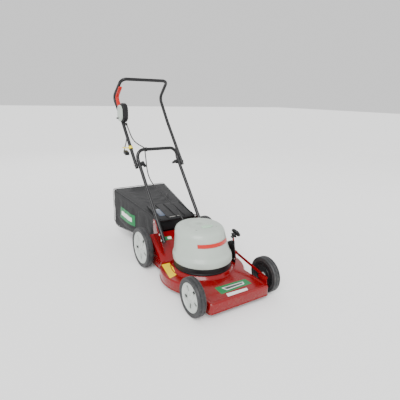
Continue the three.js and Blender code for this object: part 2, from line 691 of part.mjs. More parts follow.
function switchHousing() {
  const hull = bossOutline([
    [switchBox.y, switchBox.low, switchBox.radius], [switchBox.y, switchBox.high, switchBox.radius],
    [switchBox.y + 26, switchBox.low - 14, 24], [switchBox.pivotY, switchBox.pivotZ, 13],
  ], 16);
  const shell = sidePlate(hull, switchBox.x0, switchBox.x1, 7);
  const slot = rodX(17, switchBox.x0 - 1, bailX.x1 + 0.5, switchBox.pivotY, switchBox.pivotZ, 20);
  const leadGland = turned([[0, -16], [4.5, -16], [6.5, -3], [6.5, 40], [0, 40]], 12)
    .rotateX(-0.35).translate(cableX, rear + 463, 838);
  const pin = rodX(2.5, bailX.x0 + 3, bailX.x1 + 2, switchBox.pivotY, switchBox.pivotZ, 8);
  return join(cut(join(shell, leadGland), tubeRoom, slot), pin);
}

add('switch_box', switchHousing(), 'plastic');
const facePlate = sidePlate(bossOutline([
  [switchBox.y, switchBox.low + 2, switchBox.radius - 5],
  [switchBox.y, switchBox.high - 6, switchBox.radius - 7],
], 16), switchBox.faceX, switchBox.x0 - gap, 4);
const buttonBore = rodX(6.6, switchBox.faceX - 9, switchBox.faceX + 12, switchBox.buttonY, switchBox.buttonZ);
const bailRoom = rodX(17, -300, 0, switchBox.pivotY, switchBox.pivotZ, 20);
add('switch_face', cut(facePlate, buttonBore, tubeRoom, bailRoom), 'grey');
const ballX = switchBox.faceX - 14;
add('lock_button', turnedX([
  [0, ballX], [3, ballX + 0.5], [6, ballX + 4], [6, ballX + 8], [3, ballX + 11], [3, ballX + 14],
  [5.5, ballX + 15], [5.5, ballX + 18], [0, ballX + 18],
], 12).translate(0, switchBox.buttonY, switchBox.buttonZ), 'plastic');

function bandOutline(points, halfWidth, steps) {
  const curve = new THREE.SplineCurve(points.map(([a, b]) => new THREE.Vector2(a, b)));
  const one = [];
  const other = [];
  for (let i = 0; i <= steps; i += 1) {
    const at = curve.getPointAt(i / steps);
    const along = curve.getTangentAt(i / steps);
    one.push([at.x - along.y * halfWidth, at.y + along.x * halfWidth]);
    other.push([at.x + along.y * halfWidth, at.y - along.x * halfWidth]);
  }
  return outline([...other, ...one.reverse()]);
}

const bailBand = sidePlate(bandOutline([
  [switchBox.pivotY - 2, switchBox.pivotZ - 5], [switchBox.pivotY + 17, 978], [switchBox.pivotY + 33, 1001],
  [switchBox.pivotY + 32, 1022], [switchBox.pivotY + 8, 1044], [switchBox.pivotY - 36, 1080],
], 4.5, 14), bailX.x0, bailX.x1, 2);
add('bail_lever', cut(
  bailBand, rodX(3, -300, 0, switchBox.pivotY, switchBox.pivotZ, 8),
), 'accent');

// ---- cables -------------------------------------------------------------------------------

const cableRadius = 4;
const clip = { x: -80, y: handle.barY + handle.radius + 8, z: handle.barZ };
const glandTop = [cableX, rear + 433, 846];
const glandPlace = place(...glandTop);
glandPlace.rotation.x = -0.75;
add('cable_gland', turned([[0, -20], [5, -20], [7.5, -4], [7.5, 0], [0, 0]], 12), 'plastic', glandPlace);

const cableSteps = 34;
const cableUpper = [
  [-152, 418.5, 830.2], [-150, 405, 815], [-146, 386, 786], [-139, 369, 757], [-128, 349, 733],
  [-114, 330, 718], [-103, 316, 709],
];
const cableLower = [
  [-102.6, 315.6, 708.8], [-92, 302, 702], [-83, clip.y + 1 - rear, 694],
  [clip.x, clip.y - rear, 684], [-79, clip.y - 2 - rear, 660],
  [-77, 284, 610], [-75, 273, 550], [-71, 251, 502], [-64, 208, 465], [-52, 153, 438], [-38, 83, 405],
  [-28, 13, 378], [-20, -52, 348], [-12, -100, 312], [-5, -129, 272], [0, -143, 240], [0, -148.5, 218],
];
add('motor_cable_upper', cord(cableUpper, cableRadius, 10), 'black');
add('motor_cable_lower', cord(cableLower, cableRadius, cableSteps), 'black');

// The supply lead hangs in a loop from the switch box to its plug on the cord hook.
const leadRadius = 3.5;
const lead = [
  [-152, 457.3, 822.5], [-152, 451, 805], [-153, 439, 782], [-157, 424, 757], [-166, 406, 730],
  [-180, 387, 707], [-194, 367, 690], [-203, 345, 679], [-206, 327, 674],
];
add('supply_cord', cord(lead, leadRadius, 16), 'black');

// ---- what fits round the handles ----------------------------------------------------------

const clipRing = turnedX([
  [handle.radius + gap, -6], [handle.radius + 3, -6], [handle.radius + 3, 6], [handle.radius + gap, 6],
  [handle.radius + gap, -6],
], 16).translate(clip.x, handle.barY, handle.barZ);
const lugY = handle.barY + handle.radius + 1;
const clipLug = box(clip.x - 8, clip.x + 8, lugY, clip.y + 8, clip.z - 6, clip.z + 6);
const cableRoom = cord(cableLower, cableRadius + gap + 0.1, cableSteps);
add('cable_clip', cut(join(clipRing, clipLug), cableRoom), 'plastic');

const rodEnd = plateOuter + 4;
add('flap_rod', rodX(plates.rodRadius, -rodEnd, rodEnd, plates.rodY, plates.rodZ, 12), 'steel');

// The cord hook clamps the upper tube and holds the lead clear of the handle.
const hookAlong = 128; // from the handle's pivot up the tube
const hookAt = new THREE.Vector2(handle.pivotY, handle.pivotZ).addScaledVector(tailDirection, hookAlong);
const hookBore = (handle.radius + gap) / Math.cos(Math.PI / 12);
const hookRing = turned([
  [hookBore, -9], [hookBore + 3, -9], [hookBore + 3, 9], [hookBore, 9], [hookBore, -9],
], 12).rotateX(-Math.atan2(tailDirection.x, tailDirection.y)).translate(-upperX, hookAt.x, hookAt.y);
const hookRoot = -upperX - hookBore - 0.9; // inside the ring's wall
const hookArm = new THREE.ExtrudeGeometry(outline([
  [hookRoot, hookAt.x - 7], [-212, hookAt.x + 8], [-216, hookAt.x + 30], [-206, hookAt.x + 38],
  [-200, hookAt.x + 30], [-203, hookAt.x + 20], [hookRoot, hookAt.x + 9],
]), { depth: 5, bevelEnabled: false }).translate(0, 0, hookAt.y - 1);
add('cord_hook', join(hookRing, hookArm), 'yellow');

const plug = { x: -206.5, y: rear + 324, z: 673.5, length: 42 };
const plugPlace = place(plug.x, plug.y, plug.z);
plugPlace.rotation.x = 0.22;
add('supply_plug', join(
  box(-13, 13, -plug.length, 0, -10, 10), box(-9, -5, -plug.length - 17, -plug.length + 1, -2, 2),
  box(5, 9, -plug.length - 17, -plug.length + 1, -2, 2),
), 'plastic', plugPlace);

// ---- grass bag and flap -------------------------------------------------------------------

function bagBlock(inset, front) {
  const mouth = bag.mouthY - front;
  const profile = outline([
    [mouth, bag.mouthBottom + inset], [bag.mouthY + 2, bag.mouthBottom + inset],
    [bag.mouthY + 66, bag.mouthBottom - 34 + inset], [bag.mouthY + 215, bag.rearBottom + 2 + inset],
    [bag.rearY - 73, bag.rearBottom - 29 + inset], [bag.rearY - 29 - inset, bag.rearBottom - 4 + inset],
    [bag.rearY - inset, bag.rearTop - inset], [bag.mouthY + 335, bag.rearTop - 30 - inset],
    [bag.mouthY + 146, bag.mouthTop + 26 - inset], [bag.mouthY + 70, bag.mouthTop + 15 - inset],
    [bag.mouthY + 2, bag.mouthTop - inset], [mouth, bag.mouthTop - inset],
  ]);
  const side = sidePlate(profile, -300, 300);
  const plan = outline([
    [-bag.mouthHalf + inset, mouth - 5], [bag.mouthHalf - inset, mouth - 5],
    [bag.mouthHalf - inset, bag.mouthY], [bag.rearHalf - inset, bag.rearY + 5],
    [-bag.rearHalf + inset, bag.rearY + 5], [-bag.mouthHalf + inset, bag.mouthY],
  ]);
  const slab = new THREE.ExtrudeGeometry(plan, { depth: 600, bevelEnabled: false });
  return meet(side, slab);
}

add('bag_fabric', cut(bagBlock(0, 0), bagBlock(bag.wall, 20)), 'fabric');
const mouthFrame = { y0: bag.mouthY - 10, y1: bag.mouthY - gap, rim: 6 };
add('bag_frame', cut(
  box(
    -bag.mouthHalf - mouthFrame.rim, bag.mouthHalf + mouthFrame.rim, mouthFrame.y0, mouthFrame.y1,
    bag.mouthBottom - mouthFrame.rim, bag.mouthTop + mouthFrame.rim - 2,
  ),
  box(-bag.mouthHalf + 8, bag.mouthHalf - 8, 0, 900, bag.mouthBottom + 8, bag.mouthTop - 8),
), 'plastic');
const wireRadius = 3.5;
const wireX = bag.rearHalf - bag.wall - wireRadius - 4;
const wireY = bag.rearY - bag.wall - wireRadius - 8;
add('bag_wire', bentTube([
  [-bag.mouthHalf + 14, bag.mouthY + 8, bag.mouthTop - 13], [-wireX, wireY, bag.rearTop - 26],
  [wireX, wireY, bag.rearTop - 26], [bag.mouthHalf - 14, bag.mouthY + 8, bag.mouthTop - 13],
], 30, wireRadius, 8), 'steel');

function flapSolid() {
  const under = (y, z) => [y, z + flap.lift];
  const lower = [
    [plates.rodY + 1, plates.rodZ + 5.5], under(bag.mouthY, bag.mouthTop + 0.5),
    under(bag.mouthY + 70, bag.mouthTop + 15),
    under(bag.mouthY + 146, bag.mouthTop + 26), under(flap.endY, bag.mouthTop + 28),
  ];
  const upper = lower.map(([y, z]) => [y, z + flap.thick]).reverse();
  const sheet = sidePlate(outline([...lower, ...upper]), -flap.half, flap.half);
  const barrelHalf = flap.half + 5;
  const barrel = rodX(9, -barrelHalf, barrelHalf, plates.rodY, plates.rodZ, 20);
  const ribUpper = lower.map(([y, z]) => [y, z + flap.thick + 5]).reverse();
  const ribs = [-1, -0.5, 0, 0.5, 1].map((at) => {
    const x = at * (flap.half - 3);
    return sidePlate(outline([...lower, ...ribUpper]), x - 3, x + 3);
  });
  const hole = rodX(plates.rodRadius + pinPlay, -300, 300, plates.rodY, plates.rodZ, 16);
  return cut(join(sheet, barrel, ...ribs), hole);
}

add('rear_flap', flapSolid(), 'plastic');
const guardY = deck.rampTopY + gap + 0.3;
const guardHalf = plateInner - 4;
add('chute_guard', box(
  -guardHalf, guardHalf, guardY, guardY + 3, flap.skirt, plates.rodZ - 14,
), 'plastic');

// ---- origin: the middle of the machine on the ground, without the free lead ---------------

mower.updateMatrixWorld(true);
const bounds = new THREE.Box3();
mower.traverse((item) => {
  if (item.isMesh && !item.name.startsWith('supply')) bounds.expandByObject(item, true);
});
const centred = new THREE.Group();
mower.position.y = -(bounds.min.y + bounds.max.y) / 2;
centred.add(mower);

export default centred;
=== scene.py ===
import json
import math


import bpy
from mathutils import Matrix, Vector

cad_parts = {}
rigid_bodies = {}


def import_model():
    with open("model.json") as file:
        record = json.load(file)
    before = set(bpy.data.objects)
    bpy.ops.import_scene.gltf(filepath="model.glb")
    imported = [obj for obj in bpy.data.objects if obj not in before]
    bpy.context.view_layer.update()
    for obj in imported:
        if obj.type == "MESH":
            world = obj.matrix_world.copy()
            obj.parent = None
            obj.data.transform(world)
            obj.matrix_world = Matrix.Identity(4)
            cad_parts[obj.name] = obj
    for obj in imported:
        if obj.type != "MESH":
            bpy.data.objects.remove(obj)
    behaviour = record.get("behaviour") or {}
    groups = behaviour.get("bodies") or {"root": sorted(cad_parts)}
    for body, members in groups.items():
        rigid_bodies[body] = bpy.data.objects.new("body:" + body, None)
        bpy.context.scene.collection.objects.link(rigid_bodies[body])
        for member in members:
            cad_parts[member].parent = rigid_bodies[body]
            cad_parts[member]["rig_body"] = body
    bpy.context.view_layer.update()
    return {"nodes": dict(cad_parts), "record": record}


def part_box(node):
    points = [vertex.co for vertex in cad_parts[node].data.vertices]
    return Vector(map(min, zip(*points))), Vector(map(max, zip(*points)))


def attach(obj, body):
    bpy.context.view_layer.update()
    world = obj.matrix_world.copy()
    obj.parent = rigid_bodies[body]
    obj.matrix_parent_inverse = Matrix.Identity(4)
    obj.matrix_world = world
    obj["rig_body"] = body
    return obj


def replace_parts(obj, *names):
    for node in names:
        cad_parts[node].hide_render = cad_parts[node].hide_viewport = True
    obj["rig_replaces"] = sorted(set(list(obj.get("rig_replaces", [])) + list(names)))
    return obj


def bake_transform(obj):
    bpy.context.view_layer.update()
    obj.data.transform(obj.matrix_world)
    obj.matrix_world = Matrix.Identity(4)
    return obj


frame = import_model()
print("frame loaded,", len(frame["nodes"]), "parts")

frontTyre = [Vector(corner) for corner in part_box("front_left_tyre")]
axleLine = (frontTyre[0].y + frontTyre[1].y) / 2


def at(x, y, z):  # millimetres, y counted back from the front axle
    return Vector((x / 1000, y / 1000 + axleLine, z / 1000))


def mm(value):
    return value / 1000


# --- camera and light ---

camera = {
    "place": (-1.017661, -1.83529, 1.033719),
    "yaw": -32.38,
    "pitch": 16.43,
    "roll": 1.45,
    "lens": 31.63,
}


def makeCamera():
    yaw, pitch, roll = (math.radians(camera[key]) for key in ("yaw", "pitch", "roll"))
    back = Vector((math.sin(yaw) * math.cos(pitch), -math.cos(yaw) * math.cos(pitch), math.sin(pitch)))
    level = Vector((math.cos(yaw), math.sin(yaw), 0))
    upright = back.cross(level)
    side = level * math.cos(roll) + upright * math.sin(roll)
    top = upright * math.cos(roll) - level * math.sin(roll)
    bpy.ops.object.camera_add(location=camera["place"])
    eye = bpy.context.object
    eye.name = "camera"
    eye.data.lens = camera["lens"]
    eye.data.sensor_width = 36
    eye.rotation_euler = Matrix((side, top, back)).transposed().to_euler()
    bpy.context.scene.camera = eye


light = {"sun": 4.0, "fill": 20, "back": 30, "world": 1.0}


def makeLight():
    lamps = [
        ("fill light", (3.2, -1.6, 2.0), light["fill"], 3.0),
        ("back light", (0.4, 3.4, 2.8), light["back"], 3.0),
    ]
    for name, place, watts, size in lamps:
        bpy.ops.object.light_add(type="AREA", location=place)
        lamp = bpy.context.object
        lamp.name = name
        lamp.data.energy = watts
        lamp.data.size = size
        aim = Vector((0, 0, 0.35)) - Vector(place)
        lamp.rotation_euler = aim.to_track_quat("-Z", "Y").to_euler()
    bpy.ops.object.light_add(type="SUN", location=(-2.2, -2.6, 3.4))
    sun = bpy.context.object
    sun.name = "key light"
    sun.data.energy = light["sun"]
    sun.data.angle = math.radians(38)
    sun.rotation_euler = (Vector((0, 0, 0.35)) - sun.location).to_track_quat("-Z", "Y").to_euler()
    world = bpy.data.worlds.new("studio")
    bpy.context.scene.world = world
    world.use_nodes = True
    sky = world.node_tree.nodes["Background"]
    sky.inputs["Color"].default_value = (1, 1, 1, 1)
    sky.inputs["Strength"].default_value = light["world"]


makeCamera()
makeLight()
print("camera and light ready")


# --- finishes: shader maths as plain sums ---


class Wire:
    def __init__(self, finish, socket):
        self.finish = finish
        self.socket = socket

    def sum(self, operation, *terms):
        return self.finish.node("Math", {"operation": operation}, terms)

    def __add__(self, other):
        return self.sum("ADD", self, other)

    def __radd__(self, other):
        return self.sum("ADD", other, self)

    def __sub__(self, other):
        return self.sum("SUBTRACT", self, other)

    def __rsub__(self, other):
        return self.sum("SUBTRACT", other, self)

    def __mul__(self, other):
        return self.sum("MULTIPLY", self, other)

    def __rmul__(self, other):
        return self.sum("MULTIPLY", other, self)

    def __pow__(self, other):
        return self.sum("POWER", self, other)


class Finish:
    def __init__(self, name):
        self.material = bpy.data.materials.new(name)
        self.material.use_nodes = True
        self.tree = self.material.node_tree
        self.shader = self.tree.nodes["Principled BSDF"]

    def fill(self, socket, value):
        if isinstance(value, Wire):
            self.tree.links.new(value.socket, socket)
        elif socket.type == "RGBA" and len(value) == 3:
            socket.default_value = (*value, 1)
        else:
            socket.default_value = value

    def node(self, kind, settings=None, inputs=(), output=0):
        made = self.tree.nodes.new("ShaderNode" + kind)
        for key, value in (settings or {}).items():
            if key == "stops":
                for stop, (where, colour) in zip(made.color_ramp.elements, value):
                    stop.position = where
                    stop.color = (colour, colour, colour, 1)
            else:
                setattr(made, key, value)
        pairs = inputs.items() if isinstance(inputs, dict) else enumerate(inputs)
        for key, value in pairs:
            self.fill(made.inputs[key], value)
        return Wire(self, made.outputs[output])

    def place(self, output="Object"):
        return self.node("TexCoord", output=output)

    def noise(self, scale, detail=3, vector=None, roughness=0.55):
        inputs = {"Vector": vector or self.place(), "Scale": scale, "Detail": detail, "Roughness": roughness}
        return self.node("TexNoise", inputs=inputs)

    def ramp(self, value, low, high):  # 0 below low, 1 above high
        return self.node("ValToRGB", {"stops": [(low, 0), (high, 1)]}, [value])

    def blend(self, share, first, second):
        return self.node("Mix", {"data_type": "RGBA"}, {0: share, 6: first, 7: second}, 2)

    def stretched(self, sizes):  # object coordinates squeezed along an axis
        return self.node("Mapping", inputs={"Vector": self.place(), "Scale": sizes})

    def bump(self, height, strength, distance=0.001, under=None):
        inputs = {"Height": height, "Strength": strength, "Distance": distance}
        if under:
            inputs["Normal"] = under
        return self.node("Bump", inputs=inputs)

    def edges(self, radius):  # 1 along edges, 0 on flats; the finishes lighten these edges as wear and as a painted highlight
        soft = self.node("Bevel", {"samples": 4}, {"Radius": radius})
        hard = self.node("NewGeometry", output="Normal")
        turn = self.node("VectorMath", {"operation": "DOT_PRODUCT"}, [soft, hard], "Value")
        return self.ramp(1 - turn, 0.02, 0.16)

    def height(self):  # metres above the ground
        return self.node("SeparateXYZ", inputs=[self.place()], output="Z")

    def finish(self, **sockets):
        names = {
            "colour": "Base Color", "rough": "Roughness", "metal": "Metallic", "normal": "Normal",
            "coat": "Coat Weight", "coatRough": "Coat Roughness", "shine": "Specular IOR Level",
            "sheen": "Sheen Weight", "sheenRough": "Sheen Roughness",
        }
        for key, value in sockets.items():
            self.fill(self.shader.inputs[names[key]], value)
        if "shine" not in sockets:
            self.shader.inputs["Specular IOR Level"].default_value = 0.3
        return self.material


def paint(name, colour, dark, rough, wearAndHighlight, coat=0.5):
    f = Finish(name)
    drift = f.ramp(f.noise(7, 2), 0.3, 0.7)
    base = f.blend(drift * 0.35, colour, dark)
    dirt = f.ramp(f.noise(38, 5), 0.48, 0.72) * (1 - f.ramp(f.height(), 0.03, 0.11))
    base = f.blend(dirt * 0.35, base, (0.12, 0.075, 0.045))
    # edges lightened towards grey: partly worn paint, partly a painted highlight
    edge = f.edges(0.0018) * f.ramp(f.noise(160, 3), 0.42, 0.62)
    base = f.blend(edge * wearAndHighlight, base, (0.30, 0.27, 0.26))
    scratches = f.ramp(f.noise(60, 2, f.stretched((1, 14, 9))), 0.62, 0.7)
    peel = f.noise(420, 1)
    surface = f.bump(peel, 0.05, 0.0006)
    roughness = f.noise(24, 3) * 0.12 + scratches * 0.1 + dirt * 0.3 + (rough - 0.06)
    return f.finish(colour=base, rough=roughness, normal=surface, coat=coat, coatRough=0.12)


def plastic(name, colour, dark, rough, grain=0.12, dustAndEdgeHighlight=0.25, coat=0.0):
    f = Finish(name)
    drift = f.ramp(f.noise(11, 3), 0.3, 0.72)
    base = f.blend(drift * 0.5, colour, dark)
    specks = f.ramp(f.noise(230, 4), 0.56, 0.74)
    base = f.blend(specks * 0.12, base, dark)
    # edges lightened towards a paler tone: partly rubbed plastic, partly a painted highlight
    rubbedAndLitEdge = f.edges(0.0014) * f.ramp(f.noise(120, 2), 0.4, 0.6)
    pale = tuple(0.5 * c + 0.22 for c in colour)
    base = f.blend(rubbedAndLitEdge * dustAndEdgeHighlight, base, pale)
    scuffs = f.ramp(f.noise(45, 3, f.stretched((1, 7, 3))), 0.6, 0.75)
    roughness = f.noise(30, 3) * 0.14 + scuffs * 0.08 + (rough - 0.07)
    surface = f.bump(f.noise(1100, 2), grain, 0.0004)
    surface = f.bump(f.noise(26, 2), 0.06, 0.0012, surface)
    return f.finish(colour=base, rough=roughness, normal=surface, coat=coat)


def metal(name, colour, rough, stretch=(1, 1, 26)):
    f = Finish(name)
    brush = f.noise(240, 3, f.stretched(stretch))
    stain = f.ramp(f.noise(60, 4), 0.55, 0.75)
    base = f.blend(brush * 0.5, colour, tuple(c * 0.72 for c in colour))
    base = f.blend(stain * 0.35, base, (0.22, 0.18, 0.14))
    roughness = brush * 0.2 + stain * 0.2 + (rough - 0.1)
    return f.finish(colour=base, rough=roughness, metal=1.0, normal=f.bump(brush, 0.15, 0.0003))


def rubber(name, colour, rough, dustAndEdgeHighlight):
    f = Finish(name)
    mottled = f.ramp(f.noise(34, 5), 0.35, 0.7)
    base = f.blend(mottled * 0.6, colour, tuple(c * 0.62 for c in colour))
    powder = f.ramp(f.noise(90, 5), 0.5, 0.72)
    base = f.blend(powder * dustAndEdgeHighlight, base, (0.17, 0.155, 0.135))
    roughness = mottled * 0.12 + powder * 0.12 + (rough - 0.08)
    surface = f.bump(f.noise(700, 3), 0.22, 0.0005)
    return f.finish(colour=base, rough=roughness, normal=surface, shine=0.45)


def cloth(name, thread, colour, dark):
    f = Finish(name)
    parts = [f.node("SeparateXYZ", inputs=[f.place("UV")], output=axis) for axis in (0, 1)]
    turns = 2 * math.pi / thread
    warp = (parts[0] * turns).sum("SINE", parts[0] * turns)
    weft = (parts[1] * turns).sum("SINE", parts[1] * turns)
    weave = warp * weft * 0.5 + 0.5
    slub = f.noise(26, 4)
    faded = f.ramp(f.noise(5.5, 4), 0.35, 0.7)
    base = f.blend(weave * 0.45, colour, dark)
    base = f.blend(faded * 0.35, base, tuple(c * 1.5 for c in colour))
    lint = f.ramp(f.noise(320, 3), 0.66, 0.76)
    base = f.blend(lint * 0.18, base, (0.19, 0.19, 0.18))
    surface = f.bump(weave, 0.35, 0.0004)
    surface = f.bump(slub, 0.2, 0.0012, surface)
    roughness = weave * 0.12 + slub * 0.2 + 0.5
    return f.finish(colour=base, rough=roughness, normal=surface, shine=0.4)


def printed(name, colour, dark, rough=0.34):
    f = Finish(name)
    ink = f.ramp(f.noise(60, 4), 0.35, 0.75)
    fibre = f.noise(520, 3)
    base = f.blend(ink * 0.3, colour, dark)
    base = f.blend(f.ramp(fibre, 0.62, 0.75) * 0.2, base, dark)
    return f.finish(colour=base, rough=ink * 0.1 + rough, normal=f.bump(fibre, 0.05, 0.0003))


finishes = {
    "red": paint("red enamel", (0.20, 0.0005, 0.0026), (0.145, 0.0004, 0.0018), 0.22, 0.3, 0.3),
    "blackPaint": paint("black paint", (0.008, 0.008, 0.009), (0.005, 0.005, 0.006), 0.38, 0.35, 0.2),
    "tube": paint("black tube coat", (0.009, 0.009, 0.010), (0.005, 0.005, 0.006), 0.36, 0.25, 0.15),
    "black": plastic("black plastic", (0.008, 0.008, 0.009), (0.005, 0.005, 0.006), 0.44, 0.3, 0.12),
    "inner": plastic("wheel inner plastic", (0.012, 0.012, 0.013), (0.007, 0.007, 0.008), 0.5, 0.3, 0.08),
    "cover": plastic("cover plastic", (0.42, 0.475, 0.425), (0.37, 0.42, 0.375), 0.33, 0.05, 0.1, 0.15),
    "hub": plastic("wheel plastic", (0.47, 0.50, 0.475), (0.41, 0.44, 0.415), 0.36, 0.08, 0.15, 0.1),
    "redPlastic": plastic("red plastic", (0.50, 0.018, 0.012), (0.40, 0.012, 0.008), 0.3, 0.05, 0.2, 0.3),
    "yellow": plastic("yellow plastic", (0.78, 0.64, 0.006), (0.68, 0.52, 0.005), 0.36, 0.06, 0.1, 0.2),
    "badge": plastic("badge plastic", (0.40, 0.58, 0.43), (0.34, 0.50, 0.37), 0.3, 0.04, 0.1, 0.4),
    "zinc": metal("zinc plate", (0.66, 0.65, 0.62), 0.3),
    "casting": metal("motor casting", (0.5, 0.5, 0.5), 0.5, (1, 1, 3)),
    "bladeSteel": metal("blade steel", (0.32, 0.32, 0.33), 0.42, (1, 22, 1)),
    "tyre": rubber("tyre rubber", (0.022, 0.023, 0.025), 0.55, 0.22),
    "cable": rubber("cable sheath", (0.022, 0.022, 0.023), 0.42, 0.06),
    "cloth": cloth("bag cloth", 0.0022, (0.016, 0.016, 0.017), (0.008, 0.008, 0.009)),
    "piping": rubber("piping", (0.020, 0.020, 0.021), 0.5, 0.08),
    "green": printed("green print", (0.012, 0.17, 0.055), (0.008, 0.12, 0.038)),
    "white": printed("white print", (0.72, 0.72, 0.70), (0.60, 0.60, 0.58)),
    "ink": printed("dark print", (0.05, 0.07, 0.06), (0.03, 0.04, 0.035)),
    "label": printed("yellow print", (0.80, 0.56, 0.004), (0.70, 0.47, 0.003)),
    "slate": plastic("slate plastic", (0.085, 0.105, 0.15), (0.06, 0.075, 0.11), 0.22, 0.04, 0.1, 0.5),
}
print("finishes ready,", len(finishes))


# --- modelling helpers ---


def only(piece):
    if bpy.context.object and bpy.context.object.mode != "OBJECT":
        bpy.ops.object.mode_set(mode="OBJECT")
    bpy.ops.object.select_all(action="DESELECT")
    piece.select_set(True)
    bpy.context.view_layer.objects.active = piece


def edit(piece, kind="VERT"):
    only(piece)
    bpy.ops.object.mode_set(mode="EDIT")
    bpy.ops.mesh.select_mode(type=kind)


def leave():
    bpy.ops.object.mode_set(mode="OBJECT")


def pick(piece, test, kind="FACE"):  # selects in edit mode by place: test takes the centre and the part
    edit(piece, kind)
    bpy.ops.mesh.select_all(action="DESELECT")
    leave()
    mesh = piece.data
    for vertex in mesh.vertices:
        vertex.select = False
    for line in mesh.edges:
        line.select = False
    count = 0
    if kind == "FACE":
        for face in mesh.polygons:
            face.select = test(face.center, face)
            count += face.select
    elif kind == "EDGE":
        for line in mesh.edges:
            ends = [mesh.vertices[i].co for i in line.vertices]
            line.select = test((ends[0] + ends[1]) / 2, line)
            count += line.select
    else:
        for vertex in mesh.vertices:
            vertex.select = test(vertex.co, vertex)
            count += vertex.select
    bpy.ops.object.mode_set(mode="EDIT")
    return count


def settle(piece):  # its place goes into its mesh
    only(piece)
    bpy.ops.object.transform_apply(location=True, rotation=True, scale=True)


def modify(piece, kind, **settings):
    only(piece)
    added = piece.modifiers.new(kind.lower(), kind)
    for key, value in settings.items():
        setattr(added, key, value)
    bpy.ops.object.modifier_apply(modifier=added.name)


def smooth(piece, angle=32):
    only(piece)
    bpy.ops.object.shade_smooth_by_angle(angle=math.radians(angle))


def soften(piece, width, angle=35, segments=2):
    modify(
        piece, "BEVEL", width=mm(width), segments=segments, limit_method="ANGLE",
        angle_limit=math.radians(angle), use_clamp_overlap=True, harden_normals=False,
    )


def tidyFaces(piece):
    edit(piece)
    bpy.ops.mesh.select_all(action="SELECT")
    bpy.ops.mesh.remove_doubles(threshold=0.00001)
    bpy.ops.mesh.normals_make_consistent(inside=False)
    leave()


def coat(piece, finish):
    piece.data.materials.clear()
    piece.data.materials.append(finishes[finish])


def finished(piece, name, finish, body, nodes=(), angle=32):
    piece.name = name
    piece.data.name = name
    smooth(piece, angle)
    coat(piece, finish)
    settle(piece)
    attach(piece, body)
    if nodes:
        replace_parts(piece, *nodes)
    return piece


def joined(pieces):
    only(pieces[0])
    for piece in pieces:
        piece.select_set(True)
    bpy.ops.object.join()
    return bpy.context.object


def block(low, high):
    size = high - low
    bpy.ops.mesh.primitive_cube_add(size=1, location=(low + high) / 2)
    piece = bpy.context.object
    piece.scale = size
    settle(piece)
    return piece


def copyOf(piece, move=None):
    only(piece)
    bpy.ops.object.duplicate(linked=False)
    made = bpy.context.object
    if move is not None:
        made.data.transform(move)
    return made


def lathe(profile, steps=64, closed=False):  # radius and height in millimetres, turned about z
    bpy.ops.mesh.primitive_circle_add(vertices=len(profile), radius=1, fill_type="NOTHING")
    piece = bpy.context.object
    for vertex, (radius, height) in zip(piece.data.vertices, profile):
        vertex.co = (mm(radius), 0, mm(height))
    if not closed:
        last = len(profile) - 1
        pick(piece, lambda centre, line: set(line.vertices) == {0, last}, "EDGE")
        bpy.ops.mesh.delete(type="EDGE")
        leave()
    edit(piece)
    bpy.ops.mesh.select_all(action="SELECT")
    bpy.ops.mesh.spin(steps=steps, angle=2 * math.pi, center=(0, 0, 0), axis=(0, 0, 1))
    leave()
    tidyFaces(piece)
    return piece


def aimX(piece, centre, side=1):  # a turned piece is laid along x, its top outwards
    turn = Matrix.Rotation(math.radians(90), 4, "Y")
    if side < 0:
        turn = Matrix.Rotation(math.radians(180), 4, "Z") @ turn
    piece.data.transform(Matrix.Translation(centre) @ turn)
    return piece


def moved(piece, centre, turn=None):
    piece.data.transform(Matrix.Translation(centre) @ (turn.to_4x4() if turn else Matrix.Identity(4)))
    return piece


def rounded(corners, radius, steps=10):  # a path with its corners turned to arcs
    path = [corners[0]]
    for before, corner, after in zip(corners, corners[1:], corners[2:]):
        back = (before - corner).normalized()
        ahead = (after - corner).normalized()
        half = back.angle(ahead) / 2
        reach = radius / math.tan(half)
        centre = corner + (back + ahead).normalized() * radius / math.sin(half)
        first = corner + back * reach - centre
        last = corner + ahead * reach - centre
        sweep = math.pi - 2 * half
        for step in range(steps + 1):
            share = step / steps
            a = math.sin((1 - share) * sweep) / math.sin(sweep)
            b = math.sin(share * sweep) / math.sin(sweep)
            path.append(centre + first * a + last * b)
    path.append(corners[-1])
    return path


def flowing(points, each=6):  # a smooth line through the points
    ends = [points[0] * 2 - points[1]] + list(points) + [points[-1] * 2 - points[-2]]
    line = []
    for a, b, c, d in zip(ends, ends[1:], ends[2:], ends[3:]):
        for step in range(each):
            t = step / each
            line.append(
                0.5 * ((2 * b) + (c - a) * t + (2 * a - 5 * b + 4 * c - d) * t * t
                       + (3 * b - a - 3 * c + d) * t ** 3)
            )
    line.append(Vector(points[-1]))
    return line


def wireOf(path, radius, sides=8, closed=False):  # a round bar along a path, as a curve
    data = bpy.data.curves.new("wire", "CURVE")
    data.dimensions = "3D"
    data.bevel_depth = radius
    data.bevel_resolution = max(0, sides // 4)
    data.use_fill_caps = not closed
    spline = data.splines.new("POLY")
    spline.points.add(len(path) - 1)
    for point, place in zip(spline.points, path):
        point.co = (*place, 1)
    spline.use_cyclic_u = closed
    piece = bpy.data.objects.new("wire", data)
    bpy.context.scene.collection.objects.link(piece)
    return piece


def barOf(path, radius, sides=12, closed=False):  # the same as a mesh
    piece = wireOf(path, radius, sides, closed)
    only(piece)
    bpy.ops.object.convert(target="MESH")
    piece = bpy.context.object
    tidyFaces(piece)
    return piece


def refine(node, finish, width=0.6, angle=35, segments=2, name=None, shade=32):
    source = frame["nodes"][node]
    piece = bpy.data.objects.new(name or node + "_finished", source.data.copy())
    bpy.context.scene.collection.objects.link(piece)
    edit(piece)
    bpy.ops.mesh.select_all(action="SELECT")
    bpy.ops.mesh.remove_doubles(threshold=0.00001)
    bpy.ops.mesh.dissolve_limited(angle_limit=math.radians(0.6))
    leave()
    if width:
        soften(piece, width, angle, segments)
    return finished(piece, piece.name, finish, source["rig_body"], [node], shade)


slotOf = {part["node"]: part["material_slot"] for part in frame["record"]["subparts"]}


# --- cords ---

